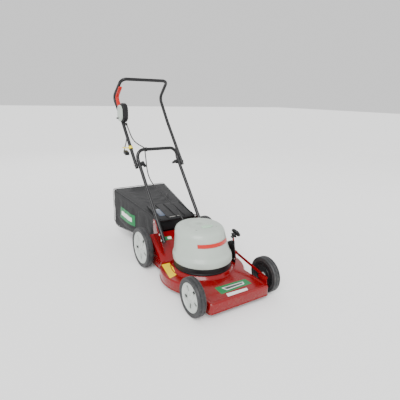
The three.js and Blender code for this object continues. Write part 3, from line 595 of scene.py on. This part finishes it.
cords = {
    "motorRadius": 4,
    "leadRadius": 3.5,
    "leadPlug": (-206.5, 931, 673.5),
    "leadTilt": 0.22,
    "upper": [
        (-152, 1025.5, 830.2), (-150, 1012, 815), (-146, 993, 786), (-139, 976, 757),
        (-128, 956, 733), (-114, 937, 718), (-103, 923, 709),
    ],
    "lower": [
        (-92, 909, 702), (-83, 902, 694), (-80, 901, 684), (-79, 899, 660), (-77, 891, 610),
        (-75, 880, 550), (-71, 858, 502), (-64, 815, 465), (-52, 760, 438), (-38, 690, 405),
        (-28, 620, 378), (-20, 555, 348), (-12, 507, 312), (-5, 478, 272), (0, 464, 240),
        (0, 458.5, 218),
    ],
    "lead": [
        (-152, 1064.3, 822.5), (-152, 1058, 805), (-153, 1046, 782), (-157, 1031, 757),
        (-166, 1013, 730), (-180, 994, 707), (-194, 974, 690), (-203, 952, 679), (-206, 934, 674),
    ],
}


def lengthOf(path):
    return sum((b - a).length for a, b in zip(path, path[1:]))


def makeCords():
    path = flowing([at(*p) for p in cords["upper"] + cords["lower"]], 6)
    cable = barOf(path, mm(cords["motorRadius"]), 12)
    cable.name = "motor_cable"
    smooth(cable, 60)
    coat(cable, "cable")
    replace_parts(cable, "motor_cable_upper", "motor_cable_lower")
    at(-150, 1012, 815)
    at(-83, 902, 694)
    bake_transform(cable)

    path = flowing([at(*p) for p in cords["lead"]], 5)
    lead = wireOf(path, mm(cords["leadRadius"]), 12)
    lead.name = "supply_lead"
    coat(lead, "cable")
    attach(lead, "upper_handle")
    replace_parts(lead, "supply_cord")
    return lead, lengthOf(path)


lead, leadLength = makeCords()
print("cords laid, lead", round(leadLength, 3), "m")


# --- wheels ---

wheel = {
    "x": 234,
    "half": 21,
    "wall": 24,
    "steps": 96,
    "blockTurn": 4,
    "slots": 5,
    "slotWide": 16,
    "front": {"y": 0, "radius": 100},
    "rear": {"y": 607, "radius": 125},
}


def makeTyre(radius):
    rim = radius - wheel["wall"]
    half = wheel["half"]
    outer = [
        (rim, half - 3.4), (rim + 1.6, half - 1.2), (rim + 4.5, half - 0.6), (rim + 6, half - 1.6),
        (rim + 9, half - 1.9), (rim + 12, half - 1.2), (radius - 7, half - 0.2), (radius - 4.4, half - 1),
        (radius - 1.8, half - 3.6), (radius - 0.5, half - 6.5), (radius - 0.1, half - 11),
        (radius - 1.7, half - 11.6), (radius - 1.7, half - 13.2), (radius, half - 13.8),
    ]
    profile = outer + [(r, -x) for r, x in reversed(outer)]
    piece = lathe(profile, wheel["steps"], True)
    turn = 2 * math.pi / wheel["steps"]

    def onShoulder(centre, face):
        across = abs(centre.z) * 1000
        reach = math.hypot(centre.x, centre.y) * 1000
        step = round(math.atan2(centre.y, centre.x) / turn - 0.5)
        offset = 0 if centre.z > 0 else 2
        return half - 12 < across < half - 5.5 and reach > radius - 1.6 and (step + offset) % wheel["blockTurn"] == 0

    pick(piece, onShoulder)
    bpy.ops.mesh.inset(use_individual=True, thickness=mm(0.9), depth=mm(-1.5))
    leave()
    return piece


def makeHub(radius):
    edge = (radius - wheel["wall"]) * math.cos(math.pi / 28) - 0.4
    profile = [
        (7, -16), (15, -16), (15, 5), (edge - 4.5, 8), (edge - 4.5, -16), (edge - 0.3, -16),
        (edge - 0.2, 17.2), (edge - 0.8, 18), (edge - 2.6, 18), (edge - 3.6, 17.4), (edge - 5, 14.8),
        (edge - 6.5, 13.9), (edge * 0.86, 13.4), (edge * 0.82, 12.5), (edge * 0.43, 10.4), (edge * 0.395, 11.6),
        (edge * 0.36, 12.3), (edge * 0.33, 12.3), (edge * 0.31, 11.2), (19, 11.2), (18, 12), (17.3, 14),
        (16.4, 14.6), (13.6, 14.6), (13, 13.4), (7, 13.4),
    ]
    disc = lathe(profile, 80, True)
    cutters = []
    ribs = []
    inner, outer = edge * 0.44, edge * 0.81
    for index in range(wheel["slots"]):
        turn = Matrix.Rotation(2 * math.pi * index / wheel["slots"], 4, "Z")
        half = wheel["slotWide"] / 2
        slot = block(Vector((mm(inner), -mm(half), -0.004)), Vector((mm(outer), mm(half), 0.04)))
        edit(slot)
        bpy.ops.mesh.select_all(action="DESELECT")
        leave()
        pick(slot, lambda centre, line: abs((slot.data.vertices[line.vertices[0]].co
                                             - slot.data.vertices[line.vertices[1]].co).z) > 0.01, "EDGE")
        bpy.ops.mesh.bevel(offset=mm(4.5), segments=4, affect="EDGES")
        leave()
        slot.data.transform(turn)
        cutters.append(slot)
        for side in (-1, 1):
            rib = block(Vector((mm(edge * 0.4), mm(side * (half + 3.4)) - 0.0009, mm(9))),
                        Vector((mm(edge * 0.85), mm(side * (half + 3.4)) + 0.0009, mm(14.2))))
            soften(rib, 0.6, 30, 2)
            rib.data.transform(turn)
            ribs.append(rib)
    cutter = joined(cutters)
    only(disc)
    carve = disc.modifiers.new("slots", "BOOLEAN")
    carve.operation = "DIFFERENCE"
    carve.solver = "EXACT"
    carve.object = cutter
    bpy.ops.object.modifier_apply(modifier=carve.name)
    bpy.data.objects.remove(cutter)
    soften(disc, 0.5, 40, 2)
    return joined([disc] + ribs)


def makeCap():
    cap = lathe([(0, 10), (12.8, 10), (12.8, 15.2), (12, 16.4), (9, 17.4), (8.4, 17.1), (5, 17.8), (0, 18)], 48)
    pick(cap, lambda centre, face: 9.5 < math.hypot(centre.x, centre.y) * 1000 < 12.2 and centre.z > 0.0155
         and round(math.atan2(centre.y, centre.x) / (2 * math.pi / 48) - 0.5) % 8 < 1)
    bpy.ops.mesh.inset(use_individual=True, thickness=mm(0.3), depth=mm(-0.8))
    leave()
    return cap


def makeBack(radius):  # dark dish on the side of the deck
    edge = radius - wheel["wall"] - 5.6
    profile = [
        (15.6, -15.5), (18, -15.5), (20, -12), (edge * 0.5, -9.5), (edge * 0.52, -11), (edge * 0.56, -11),
        (edge * 0.58, -9), (edge - 9, -11), (edge - 6, -14.5), (edge - 3, -17.2),
        (edge + 5, -17.2), (edge + 5, -16.2), (edge, -16.2), (edge, -12.5), (edge - 5, -12),
        (edge - 8, -8), (18, -6), (15.6, -8),
    ]
    back = lathe(profile, 64, True)
    ribs = []
    for index in range(10):
        rib = block(Vector((mm(20), -0.0011, mm(-13.5))), Vector((mm(edge - 9), 0.0011, mm(-8.5))))
        rib.data.transform(Matrix.Rotation(2 * math.pi * (index + 0.5) / 10, 4, "Z"))
        ribs.append(rib)
    return joined([back] + ribs)


def makeWheels():
    for row in ("front", "rear"):
        radius = wheel[row]["radius"]
        tyre, hub, cap, back = makeTyre(radius), makeHub(radius), makeCap(), makeBack(radius)
        for side, hand in ((1, "left"), (-1, "right")):
            centre = at(side * wheel["x"], wheel[row]["y"], radius)
            name = row + "_" + hand
            body = name + "_wheel"
            made = finished(aimX(copyOf(tyre), centre, side), name + "_tyre_tread", "tyre", body,
                            [name + "_tyre"], 40)
            made = finished(aimX(copyOf(hub), centre, side), name + "_hub_disc", "hub", body,
                            [name + "_hub"], 30)
            finished(aimX(copyOf(cap), centre, side), name + "_hub_cap", "hub", body)
            finished(aimX(copyOf(back), centre, side), name + "_hub_back", "inner", body)
        for piece in (tyre, hub, cap, back):
            bpy.data.objects.remove(piece)


makeWheels()
print("wheels made")


# --- deck ---

deck = {
    "noseHalf": 187, "noseFront": -87, "noseCorner": 16, "bottom": 29, "top": 88,
    "housing": 281, "radius": 246, "tailHalf": 190, "tailEnd": 560, "hem": 3.2,
    "stepRadius": 182, "stepTop": 104, "stepTopRadius": 174,
}


def deckLine(inset, steps=40):  # the outline of the deck from the tail round the nose, in millimetres
    nose, radius, tail = deck["noseHalf"] - inset, deck["radius"] - inset, deck["tailHalf"] - inset
    corner, front, middle = deck["noseCorner"], deck["noseFront"] + inset, deck["housing"]
    noseTurn, tailTurn = math.acos(nose / radius), math.acos(tail / radius)
    half = [(nose - corner + corner * math.sin(a), front + corner - corner * math.cos(a))
            for a in [math.pi / 2 * i / 8 for i in range(9)]]
    half += [(radius * math.cos(a), middle + radius * math.sin(a))
             for a in [-noseTurn + (noseTurn + tailTurn) * i / steps for i in range(steps + 1)]]
    half.append((tail, deck["tailEnd"]))
    return [(-x, y) for x, y in reversed(half)] + half


def makeDeck():
    shell = refine("deck_shell", "red", 1.6, 30, 3, shade=36)
    hem = barOf([at(x, y, deck["bottom"] + 2.4) for x, y in deckLine(0.6)], mm(deck["hem"]), 10)
    finished(hem, "deck_hem", "red", "chassis", angle=60)
    beads = []
    for radius, height, thick in ((deck["stepRadius"] + 1, deck["top"] + 0.2, 3.0),
                                  (deck["stepTopRadius"] - 6, deck["stepTop"] - 0.6, 2.4)):
        ring = []
        for i in range(10):
            a = 2 * math.pi * i / 10
            ring.append((radius + thick * math.cos(a), height + thick * 0.8 * math.sin(a)))
        beads.append(lathe(ring, 120, True))
    bead = moved(joined(beads), at(0, deck["housing"], 0))
    pick(bead, lambda centre, face: centre.y > at(0, 452, 0).y)
    bpy.ops.mesh.delete(type="FACE")
    leave()
    edit(bead, "EDGE")
    bpy.ops.mesh.select_non_manifold()
    bpy.ops.mesh.edge_face_add()
    leave()
    finished(bead, "deck_beads", "red", "chassis", angle=60)
    rib = []
    for x in (-1, 1):
        path = [at(x * 168, -60, 87.4), at(x * 168, 20, 87.4), at(x * 150, 62, 87.4)]
        rib.append(barOf(rounded(path, mm(30)), mm(3), 10))
    path = [at(-160, -72, 87.2), at(160, -72, 87.2)]
    rib.append(barOf(path, mm(3), 10))
    finished(joined(rib), "nose_ribs", "red", "chassis", angle=60)
    return shell


shell = makeDeck()

stickers = {  # corners on the deck in millimetres, and how proud each layer lies
    "nose_label": ("green", 0.3, [(-82, 34), (116, 29), (116, -26), (-86, -35)]),
    "nose_label_bar": ("white", 0.6, [(-52, 14), (86, 12), (78, -12), (-38, -17)]),
    "nose_label_line": ("ink", 0.75, [(-44, 9), (80, 7), (73, -6), (-33, -11)]),
    "nose_strip": ("white", 0.3, [(-62, -42), (64, -48), (56, -72), (-70, -70)]),
    "side_label": ("label", 0.3, [(-206, 399), (-154, 399), (-187, 251), (-236, 234)]),
    "ramp_label": ("green", 0.3, [(-112, 572), (-58, 572), (-58, 548), (-118, 548)]),
    "ramp_label_bar": ("white", 0.6, [(-86, 567), (-58, 567), (-58, 553), (-84, 553)]),
}


def makeStickers():
    for name, (finish, proud, corners) in stickers.items():
        bpy.ops.mesh.primitive_grid_add(x_subdivisions=24, y_subdivisions=24, size=2, location=(0, 0, 0))
        sheet = bpy.context.object
        a, b, c, d = (at(x, y, 400) for x, y in corners)
        for vertex in sheet.data.vertices:
            u, v = (vertex.co.x + 1) / 2, (1 - vertex.co.y) / 2
            vertex.co = (a * (1 - u) + b * u) * (1 - v) + (d * (1 - u) + c * u) * v
        modify(sheet, "SHRINKWRAP", target=shell, wrap_method="PROJECT", use_project_z=True,
               use_negative_direction=True, use_positive_direction=False, offset=mm(proud))
        edit(sheet)
        bpy.ops.mesh.select_all(action="SELECT")
        bpy.ops.mesh.normals_make_consistent(inside=False)
        leave()
        if sheet.data.polygons[0].normal.z < 0:
            sheet.data.flip_normals()
        modify(sheet, "SOLIDIFY", thickness=mm(0.25), offset=-1)
        finished(sheet, name, finish, "chassis", angle=50)


makeStickers()
print("deck made")


# --- motor cover ---

cover = {"radius": 171, "rim": 147, "top": 332, "skirt": 143.4, "steps": 112, "screwReach": 100, "screwTop": 323, "lean": 0.25}


def leaned(piece):  # the upper part leans back over the motor
    for vertex in piece.data.vertices:
        vertex.co.y += cover["lean"] * max(0, vertex.co.z - mm(cover["rim"]))
    return piece


def makeCover():
    r, rim, top = cover["radius"], cover["rim"], cover["top"]
    shape = [
        (r - 3, cover["skirt"]), (r - 0.8, rim - 1.5), (r, rim + 2), (r, rim + 20), (r - 0.8, rim + 27),
        (r - 3, rim + 33), (r - 6.2, rim + 38), (r - 9.4, rim + 42), (r - 11, rim + 48), (r - 14, rim + 66),
        (r - 19, rim + 92), (r - 22.6, top - 68), (r - 24, top - 60), (r - 24.8, top - 50), (r - 26, top - 40),
        (r - 27.6, top - 32), (r - 30.4, top - 25), (r - 34.5, top - 18.5), (r - 40, top - 13), (r - 47, top - 9),
        (r - 57, top - 5.6), (r - 70, top - 2.6), (r - 88, top - 0.6), (r - 110, top), (0, top),
    ]
    inner = [(max(a - 3, 0), b - 3 * max(0, (b - rim) / (top - rim))) for a, b in reversed(shape[::2])]
    inner[0] = (0, top - 3)
    piece = lathe(shape + inner[:-1] + [(r - 8, cover["skirt"])], cover["steps"])
    pick(piece, lambda centre, line: False, "EDGE")
    leave()
    edit(piece, "EDGE")
    bpy.ops.mesh.select_non_manifold()
    bpy.ops.mesh.bridge_edge_loops()
    leave()
    tidyFaces(piece)
    return moved(leaned(piece), at(0, deck["housing"], 0))


def ringOf(centre, across, along, thick, tall):  # an oval bead lying flat
    path = [centre + Vector((mm(across) * math.cos(a), mm(along) * math.sin(a), 0))
            for a in [2 * math.pi * i / 64 for i in range(64)]]
    bead = barOf(path, mm(thick), 8, True)
    bead.data.transform(Matrix.Translation(centre) @ Matrix.Diagonal((1, 1, tall, 1)) @ Matrix.Translation(-centre))
    return bead


def makeCoverPieces():
    dome = finished(makeCover(), "motor_cover_dome", "cover", "chassis", ["motor_cover"], 24)
    # four screws in sunk wells on the shoulder
    wells = []
    screws = []
    for turn in (-118, -42, 42, 138):
        a = math.radians(turn)
        place = at(cover["screwReach"] * math.sin(a), deck["housing"] + 42 - cover["screwReach"] * math.cos(a), 0)
        bpy.ops.mesh.primitive_cylinder_add(vertices=24, radius=mm(5.4), depth=0.03,
                                            location=place + Vector((0, 0, mm(cover["screwTop"]) + 0.0165)))
        wells.append(bpy.context.object)
        settle(wells[-1])
        screw = lathe([(0, 0), (4.3, 0), (4.3, 1.1), (3.6, 2.0), (1.2, 2.5), (1.2, 1.2), (0, 1.2)], 24)
        screws.append(moved(screw, place + Vector((0, 0, mm(cover["screwTop"] + 0.6)))))
    well = joined(wells)
    only(dome)
    carve = dome.modifiers.new("wells", "BOOLEAN")
    carve.operation = "DIFFERENCE"
    carve.object = well
    bpy.ops.object.modifier_apply(modifier=carve.name)
    bpy.data.objects.remove(well)
    smooth(dome, 24)
    finished(joined(screws), "cover_screws", "zinc", "chassis")
    refine("cover_band", "redPlastic", 0.9, 30, 3)
    ring = lathe([(150, 104.3), (165, 104.3), (166, 106), (166, 112), (164.6, 114), (165, 134), (164, 139),
                  (162.6, 141.6), (150, 141.6)], 112, True)
    finished(moved(ring, at(0, deck["housing"], 0)), "cover_ring_turned", "black", "chassis",
             ["cover_base_ring"], 30)
    # oval badge with a raised rim and a plain raised bar
    middle = at(14, deck["housing"] - 64 + cover["lean"] * (cover["top"] - cover["rim"]), cover["top"] + 1.4)
    refine("cover_badge", "badge", 0.4, 40, 2)
    rim = ringOf(middle, 36.5, 19.5, 1.1, 0.7)
    rim2 = ringOf(middle, 30, 14.5, 0.7, 0.7)
    bar = block(middle + Vector((-0.022, -0.0045, -0.0006)), middle + Vector((0.022, 0.0045, 0.0011)))
    soften(bar, 0.9, 30, 3)
    finished(joined([rim, rim2, bar]), "badge_relief", "badge", "chassis", angle=50)
    # cable entry at the back
    boot = lathe([(0, 0), (9, 0), (9, 2), (7.6, 4), (7.6, 5.6), (6.6, 6), (6.6, 8), (6, 8.4), (6, 10.4), (5.4, 11),
                  (5.2, 14), (4.6, 16), (0, 16)], 32)
    lean = Vector((0, 0.35, 1)).to_track_quat("Z", "Y").to_matrix()
    finished(moved(boot, at(0, 455, 209), lean), "cover_cable_boot", "black", "chassis")


makeCoverPieces()
print("motor cover made")


# --- handles ---

tube = {"radius": 11, "lowerX": 145, "upperX": 168.5}


def makeHandles():
    x = tube["lowerX"]
    path = [at(-x, 482.6, 183), at(-x, 866, 626), at(-x, 882, 688), at(x, 882, 688), at(x, 866, 626), at(x, 482.6, 183)]
    lower = barOf(rounded(path, mm(50), 18), mm(tube["radius"]), 28)
    finished(lower, "lower_handle_tube", "tube", "chassis", ["lower_handle"], 50)
    x = tube["upperX"]
    away = Vector((0, 1061 - 845, 852 - 598)).normalized() * 24
    end = Vector((0, 845, 598)) - away
    half = [(x, end.y, end.z), (x, 1061, 852), (x + 8, 1197, 1014), (x - 2, 1060, 1131)]
    path = [at(-a, b, c) for a, b, c in half] + [at(a, b, c) for a, b, c in reversed(half)]
    upper = barOf(rounded(path, mm(38), 14), mm(tube["radius"]), 28)
    finished(upper, "upper_handle_tube", "tube", "upper_handle", ["upper_handle"], 50)
    # plastic plugs in the open tube ends
    plugs = []
    for side in (-1, 1):
        plug = lathe([(0, -6), (8.6, -6), (8.6, 0), (10.8, 0), (10.8, 1), (9.6, 2), (0, 2.4)], 28)
        turn = (-away).to_track_quat("Z", "Y").to_matrix()
        plugs.append(moved(plug, at(side * x, end.y, end.z), turn))
    finished(joined(plugs), "tube_end_plugs", "black", "upper_handle")


def makeWingKnobs():
    knob = lathe([(0, -25), (7, -24.6), (9, -23), (9.8, -19), (11.4, -10), (12, -9), (14.8, -4), (15, -3), (15, -0.4),
                  (14.4, 0.2), (0, 0.2)], 40)
    wing = block(Vector((-0.0048, -0.0252, -0.0308)), Vector((0.0048, 0.0252, -0.009)))
    pick(wing, lambda centre, face: abs(centre.y) > 0.02)
    bpy.ops.transform.resize(value=(1.4, 1, 0.78))
    leave()
    soften(wing, 2.6, 30, 4)
    washer = lathe([(5, 0.1), (11.5, 0.1), (11.5, 0.9), (5, 0.9)], 32, True)
    for side, hand in ((1, "left"), (-1, "right")):
        centre = at(side * 133.7, 845, 598)
        whole = joined([copyOf(knob), copyOf(wing)])
        whole.data.transform(Matrix.Rotation(-0.5, 4, "Z"))
        finished(aimX(whole, centre, side), "wing_grip_" + hand, "black", "wing_knob_" + hand,
                 ["wing_knob_" + hand], 34)
        finished(aimX(copyOf(washer), centre - Vector((side * 0.0004, 0, 0)), side), "knob_washer_" + hand, "zinc",
                 "chassis")
    for piece in (knob, wing, washer):
        bpy.data.objects.remove(piece)


makeHandles()
makeWingKnobs()
print("handles made")


# --- plates, linkage, switch box and the other hard parts ---

finishOf = {
    "red_paint": "red", "black_paint": "blackPaint", "black_tube": "tube", "zinc_steel": "zinc",
    "motor_alloy": "casting", "blade_steel": "bladeSteel", "cover_plastic": "cover", "hub_plastic": "hub",
    "red_plastic": "redPlastic", "badge": "badge", "black_plastic": "black", "yellow_plastic": "yellow",
    "tyre_rubber": "tyre", "cable": "cable", "bag_cloth": "cloth",
}
edgeOf = {  # the rounding of the edges in millimetres, where it isn't the usual one
    "switch_box": 1.6, "switch_face": 1.6, "bail_lever": 1.4, "height_knob": 1.5, "rear_flap": 1.2,
    "cord_hook": 1.2, "supply_plug": 1.4, "bag_frame": 1.4, "blade": 0.4, "motor_body": 1.2,
}


def nodesLeft():
    done = set()
    for piece in bpy.context.scene.objects:
        done.update(piece.get("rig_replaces", []))
    return [node for node in frame["nodes"] if node not in done and node != "bag_fabric"]


def makeHardParts():
    for node in nodesLeft():
        refine(node, finishOf[slotOf[node]], edgeOf.get(node, 0.6), 32, 3 if node in edgeOf else 2)


makeHardParts()
print("hard parts made")


# --- the plate on the flap ---

flapLine = [(634, 296.5), (704, 311), (724, 313.9)]


def makeFlapPlate():
    points = []
    for x in (-102, -54):
        points += [at(x, y, z + lift) for lift in (0.3, 2.4) for y, z in flapLine]
    mesh = bpy.data.meshes.new("flap_plate")
    faces = []
    for i in (0, 1):
        faces += [(3 + i, 4 + i, 10 + i, 9 + i), (i, 6 + i, 7 + i, 1 + i), (i, 1 + i, 4 + i, 3 + i),
                  (6 + i, 9 + i, 10 + i, 7 + i)]
    faces += [(0, 3, 9, 6), (2, 8, 11, 5)]
    mesh.from_pydata(points, [], faces)
    piece = bpy.data.objects.new("flap_plate", mesh)
    bpy.context.scene.collection.objects.link(piece)
    tidyFaces(piece)
    soften(piece, 0.8, 40, 3)
    finished(piece, "flap_plate", "slate", "rear_flap", angle=40)
    rod = barOf([at(-49, 606, 291.6), at(24, 606, 291.6)], mm(2.6), 16)
    finished(rod, "flap_spring_rod", "zinc", "rear_flap", angle=60)


makeFlapPlate()
print("flap plate made")


# --- grass bag ---

bag = {
    "mouth": 635, "mouthHalf": 130, "mouthTop": 283, "mouthBottom": 152, "rear": 1199, "rearHalf": 211,
    "round": 26, "sides": 96, "stations": 34, "rearRings": 9, "growth": 0.02, "frames": 24,
    "topLine": [(635, 283), (704, 298), (780, 309), (969, 332), (1208, 360)],
    "baseLine": [(635, 152), (700, 122), (850, 102), (1135, 74), (1180, 80), (1208, 110)],
}


def along(line, y):
    for (y0, z0), (y1, z1) in zip(line, line[1:]):
        if y <= y1:
            return z0 + (z1 - z0) * (y - y0) / (y1 - y0)
    return line[-1][1]


def squarePoint(share):  # round a square of half-width 1 with softened corners
    side, part = divmod(share * 4, 1)
    a, b = [(1, 2 * part - 1), (1 - 2 * part, 1), (-1, 1 - 2 * part), (2 * part - 1, -1)][int(side) % 4]
    size = (abs(a) ** bag["round"] + abs(b) ** bag["round"]) ** (-1 / bag["round"])
    return a * size, b * size


def bagStation(y, share=1.0):
    part = (y - bag["mouth"]) / (bag["rear"] - bag["mouth"])
    half = bag["mouthHalf"] + (bag["rearHalf"] - bag["mouthHalf"]) * part
    top, base = along(bag["topLine"], y), along(bag["baseLine"], y)
    ring = []
    for i in range(bag["sides"]):
        a, b = squarePoint(i / bag["sides"])
        ring.append((a * half * share, (top + base) / 2 + b * share * (top - base) / 2))
    return ring


def makeBagShell():
    count, places = bag["sides"], []
    for j in range(bag["stations"] + 1):
        y = bag["mouth"] + (bag["rear"] - bag["mouth"]) * j / bag["stations"]
        places += [at(x, y, z) for x, z in bagStation(y)]
    for j in range(1, bag["rearRings"]):
        share = 1 - j / bag["rearRings"]
        swell = 5 * (1 - share * share)
        places += [at(x, bag["rear"] + swell, z) for x, z in bagStation(bag["rear"], share)]
    loops = len(places) // count
    faces = []
    for j in range(loops - 1):
        for i in range(count):
            k = (i + 1) % count
            faces.append((j * count + i, j * count + k, (j + 1) * count + k, (j + 1) * count + i))
    faces.append([(loops - 1) * count + i for i in range(count)])
    mesh = bpy.data.meshes.new("bag_shell")
    mesh.from_pydata(places, [], faces)
    shell = bpy.data.objects.new("bag_shell", mesh)
    bpy.context.scene.collection.objects.link(shell)
    tidyFaces(shell)
    return shell, loops


def sag(shell):  # held at the mouth and by the wire under the top edges
    group = shell.vertex_groups.new(name="held")
    count = bag["sides"]
    corners = [count // 4, count // 2]
    for j in range(bag["stations"] + 1):
        for i in range(count):
            near = min(abs(i - corner) for corner in corners)
            low = min(i, count - i, abs(i - 3 * count // 4))
            weight = 1.0 if j < 2 or near < 5 else (0.9 if low < 3 else 0.0)
            if weight:
                group.add([j * count + i], weight, "REPLACE")
    for i in range(count // 4, count // 2 + 1):
        group.add([bag["stations"] * count + i], 1.0, "REPLACE")
    only(shell)
    cloth = shell.modifiers.new("cloth", "CLOTH")
    cloth.settings.quality = 6
    cloth.settings.mass = 0.25
    cloth.settings.tension_stiffness = 12
    cloth.settings.compression_stiffness = 12
    cloth.settings.shear_stiffness = 6
    cloth.settings.bending_stiffness = 2.5
    cloth.settings.vertex_group_mass = "held"
    cloth.settings.shrink_min = -bag["growth"]
    cloth.collision_settings.use_collision = False
    cloth.settings.use_pressure = True
    cloth.settings.uniform_pressure_force = 0.12
    cloth.settings.effector_weights.gravity = 0.5
    cloth.point_cache.frame_start = 1
    cloth.point_cache.frame_end = bag["frames"]
    for step in range(1, bag["frames"] + 1):
        bpy.context.scene.frame_set(step)
    bpy.ops.object.modifier_apply(modifier=cloth.name)
    bpy.context.scene.frame_set(1)


def keptIn(shell):  # inside the space the bag may take
    for vertex in shell.data.vertices:
        y = (vertex.co.y - axleLine) * 1000
        vertex.co.y = min(vertex.co.y, mm(1214) + axleLine)
        vertex.co.x = max(mm(-221), min(mm(221), vertex.co.x))
        vertex.co.z = max(mm(56), vertex.co.z)
        if y < 800:
            vertex.co.z = min(vertex.co.z, mm(along(bag["topLine"], y) + 2))


def lineOn(shell, indices, out=1.2):
    shell.data.update()
    return [shell.data.vertices[i].co + shell.data.vertices[i].normal * mm(out) for i in indices]


def bagSeams(shell):
    count = bag["sides"]
    made = []
    for corner in (0, count // 4, count // 2, 3 * count // 4):
        made.append(barOf(lineOn(shell, [j * count + corner for j in range(1, bag["stations"] + 1)]), mm(2.1), 8))
    made.append(barOf(lineOn(shell, [bag["stations"] * count + i for i in range(count)]), mm(2.3), 8, True))
    made.append(barOf(lineOn(shell, [count + i for i in range(count)]), mm(2.4), 8, True))
    return finished(joined(made), "bag_piping", "piping", "grass_bag", angle=60)


def onBag(shell, name, corners, finish, lift):  # a patch sewn to the right side
    bpy.ops.mesh.primitive_grid_add(x_subdivisions=24, y_subdivisions=16, size=1)
    piece = bpy.context.object
    y0, y1, z0, z1 = corners
    for vertex in piece.data.vertices:
        u, v = vertex.co.x + 0.5, vertex.co.y + 0.5
        lean = 0.12 * (y1 - y0) * u
        vertex.co = at(-260, y0 + (y1 - y0) * u, z0 + (z1 - z0) * v + lean)
    modify(piece, "SHRINKWRAP", target=shell, wrap_method="PROJECT", use_project_x=True, use_project_y=False,
           use_project_z=False, use_positive_direction=True, use_negative_direction=False, offset=mm(lift))
    modify(piece, "SOLIDIFY", thickness=mm(0.5), offset=0)
    tidyFaces(piece)
    return finished(piece, name, finish, "grass_bag", angle=50)


def makeBag():
    shell, loops = makeBagShell()
    sag(shell)
    keptIn(shell)
    piping = bagSeams(shell)
    onBag(shell, "bag_patch_green", (900, 1090, 150, 230), "green", 1.2)
    onBag(shell, "bag_patch_white", (925, 1065, 178, 208), "white", 1.9)
    edit(shell, "FACE")
    bpy.ops.mesh.select_all(action="SELECT")
    bpy.ops.uv.cube_project(cube_size=1, correct_aspect=False)
    leave()
    modify(shell, "SOLIDIFY", thickness=mm(1.2), offset=-1)
    modify(shell, "SUBSURF", levels=1, render_levels=1)
    finished(shell, "bag_shell", "cloth", "grass_bag", ["bag_fabric"], 60)
    # the carrying strap across the top
    x = 101
    path = [at(x - 16, 905, along(bag["topLine"], 905) + 1), at(x - 8, 920, along(bag["topLine"], 920) + 9),
            at(x, 938, along(bag["topLine"], 938) + 13), at(x + 8, 956, along(bag["topLine"], 956) + 9),
            at(x + 16, 970, along(bag["topLine"], 970) + 1)]
    strap = barOf(flowing(path, 6), mm(5), 10)
    finished(strap, "bag_grip", "piping", "grass_bag", angle=60)


makeBag()
print("grass bag made")


# --- floor and the end ---

bpy.ops.mesh.primitive_plane_add(size=60)
floor = bpy.context.object
floor.name = "floor"
floorFinish = Finish("studio floor")
cloud = floorFinish.noise(1.2, 3)
floor.data.materials.append(
    floorFinish.finish(colour=floorFinish.blend(cloud, (0.95, 0.95, 0.945), (0.92, 0.92, 0.915)),
                       rough=cloud * 0.1 + 0.6)
)
tuple(at(-152, 1064.3, 822.5))
mm(7)
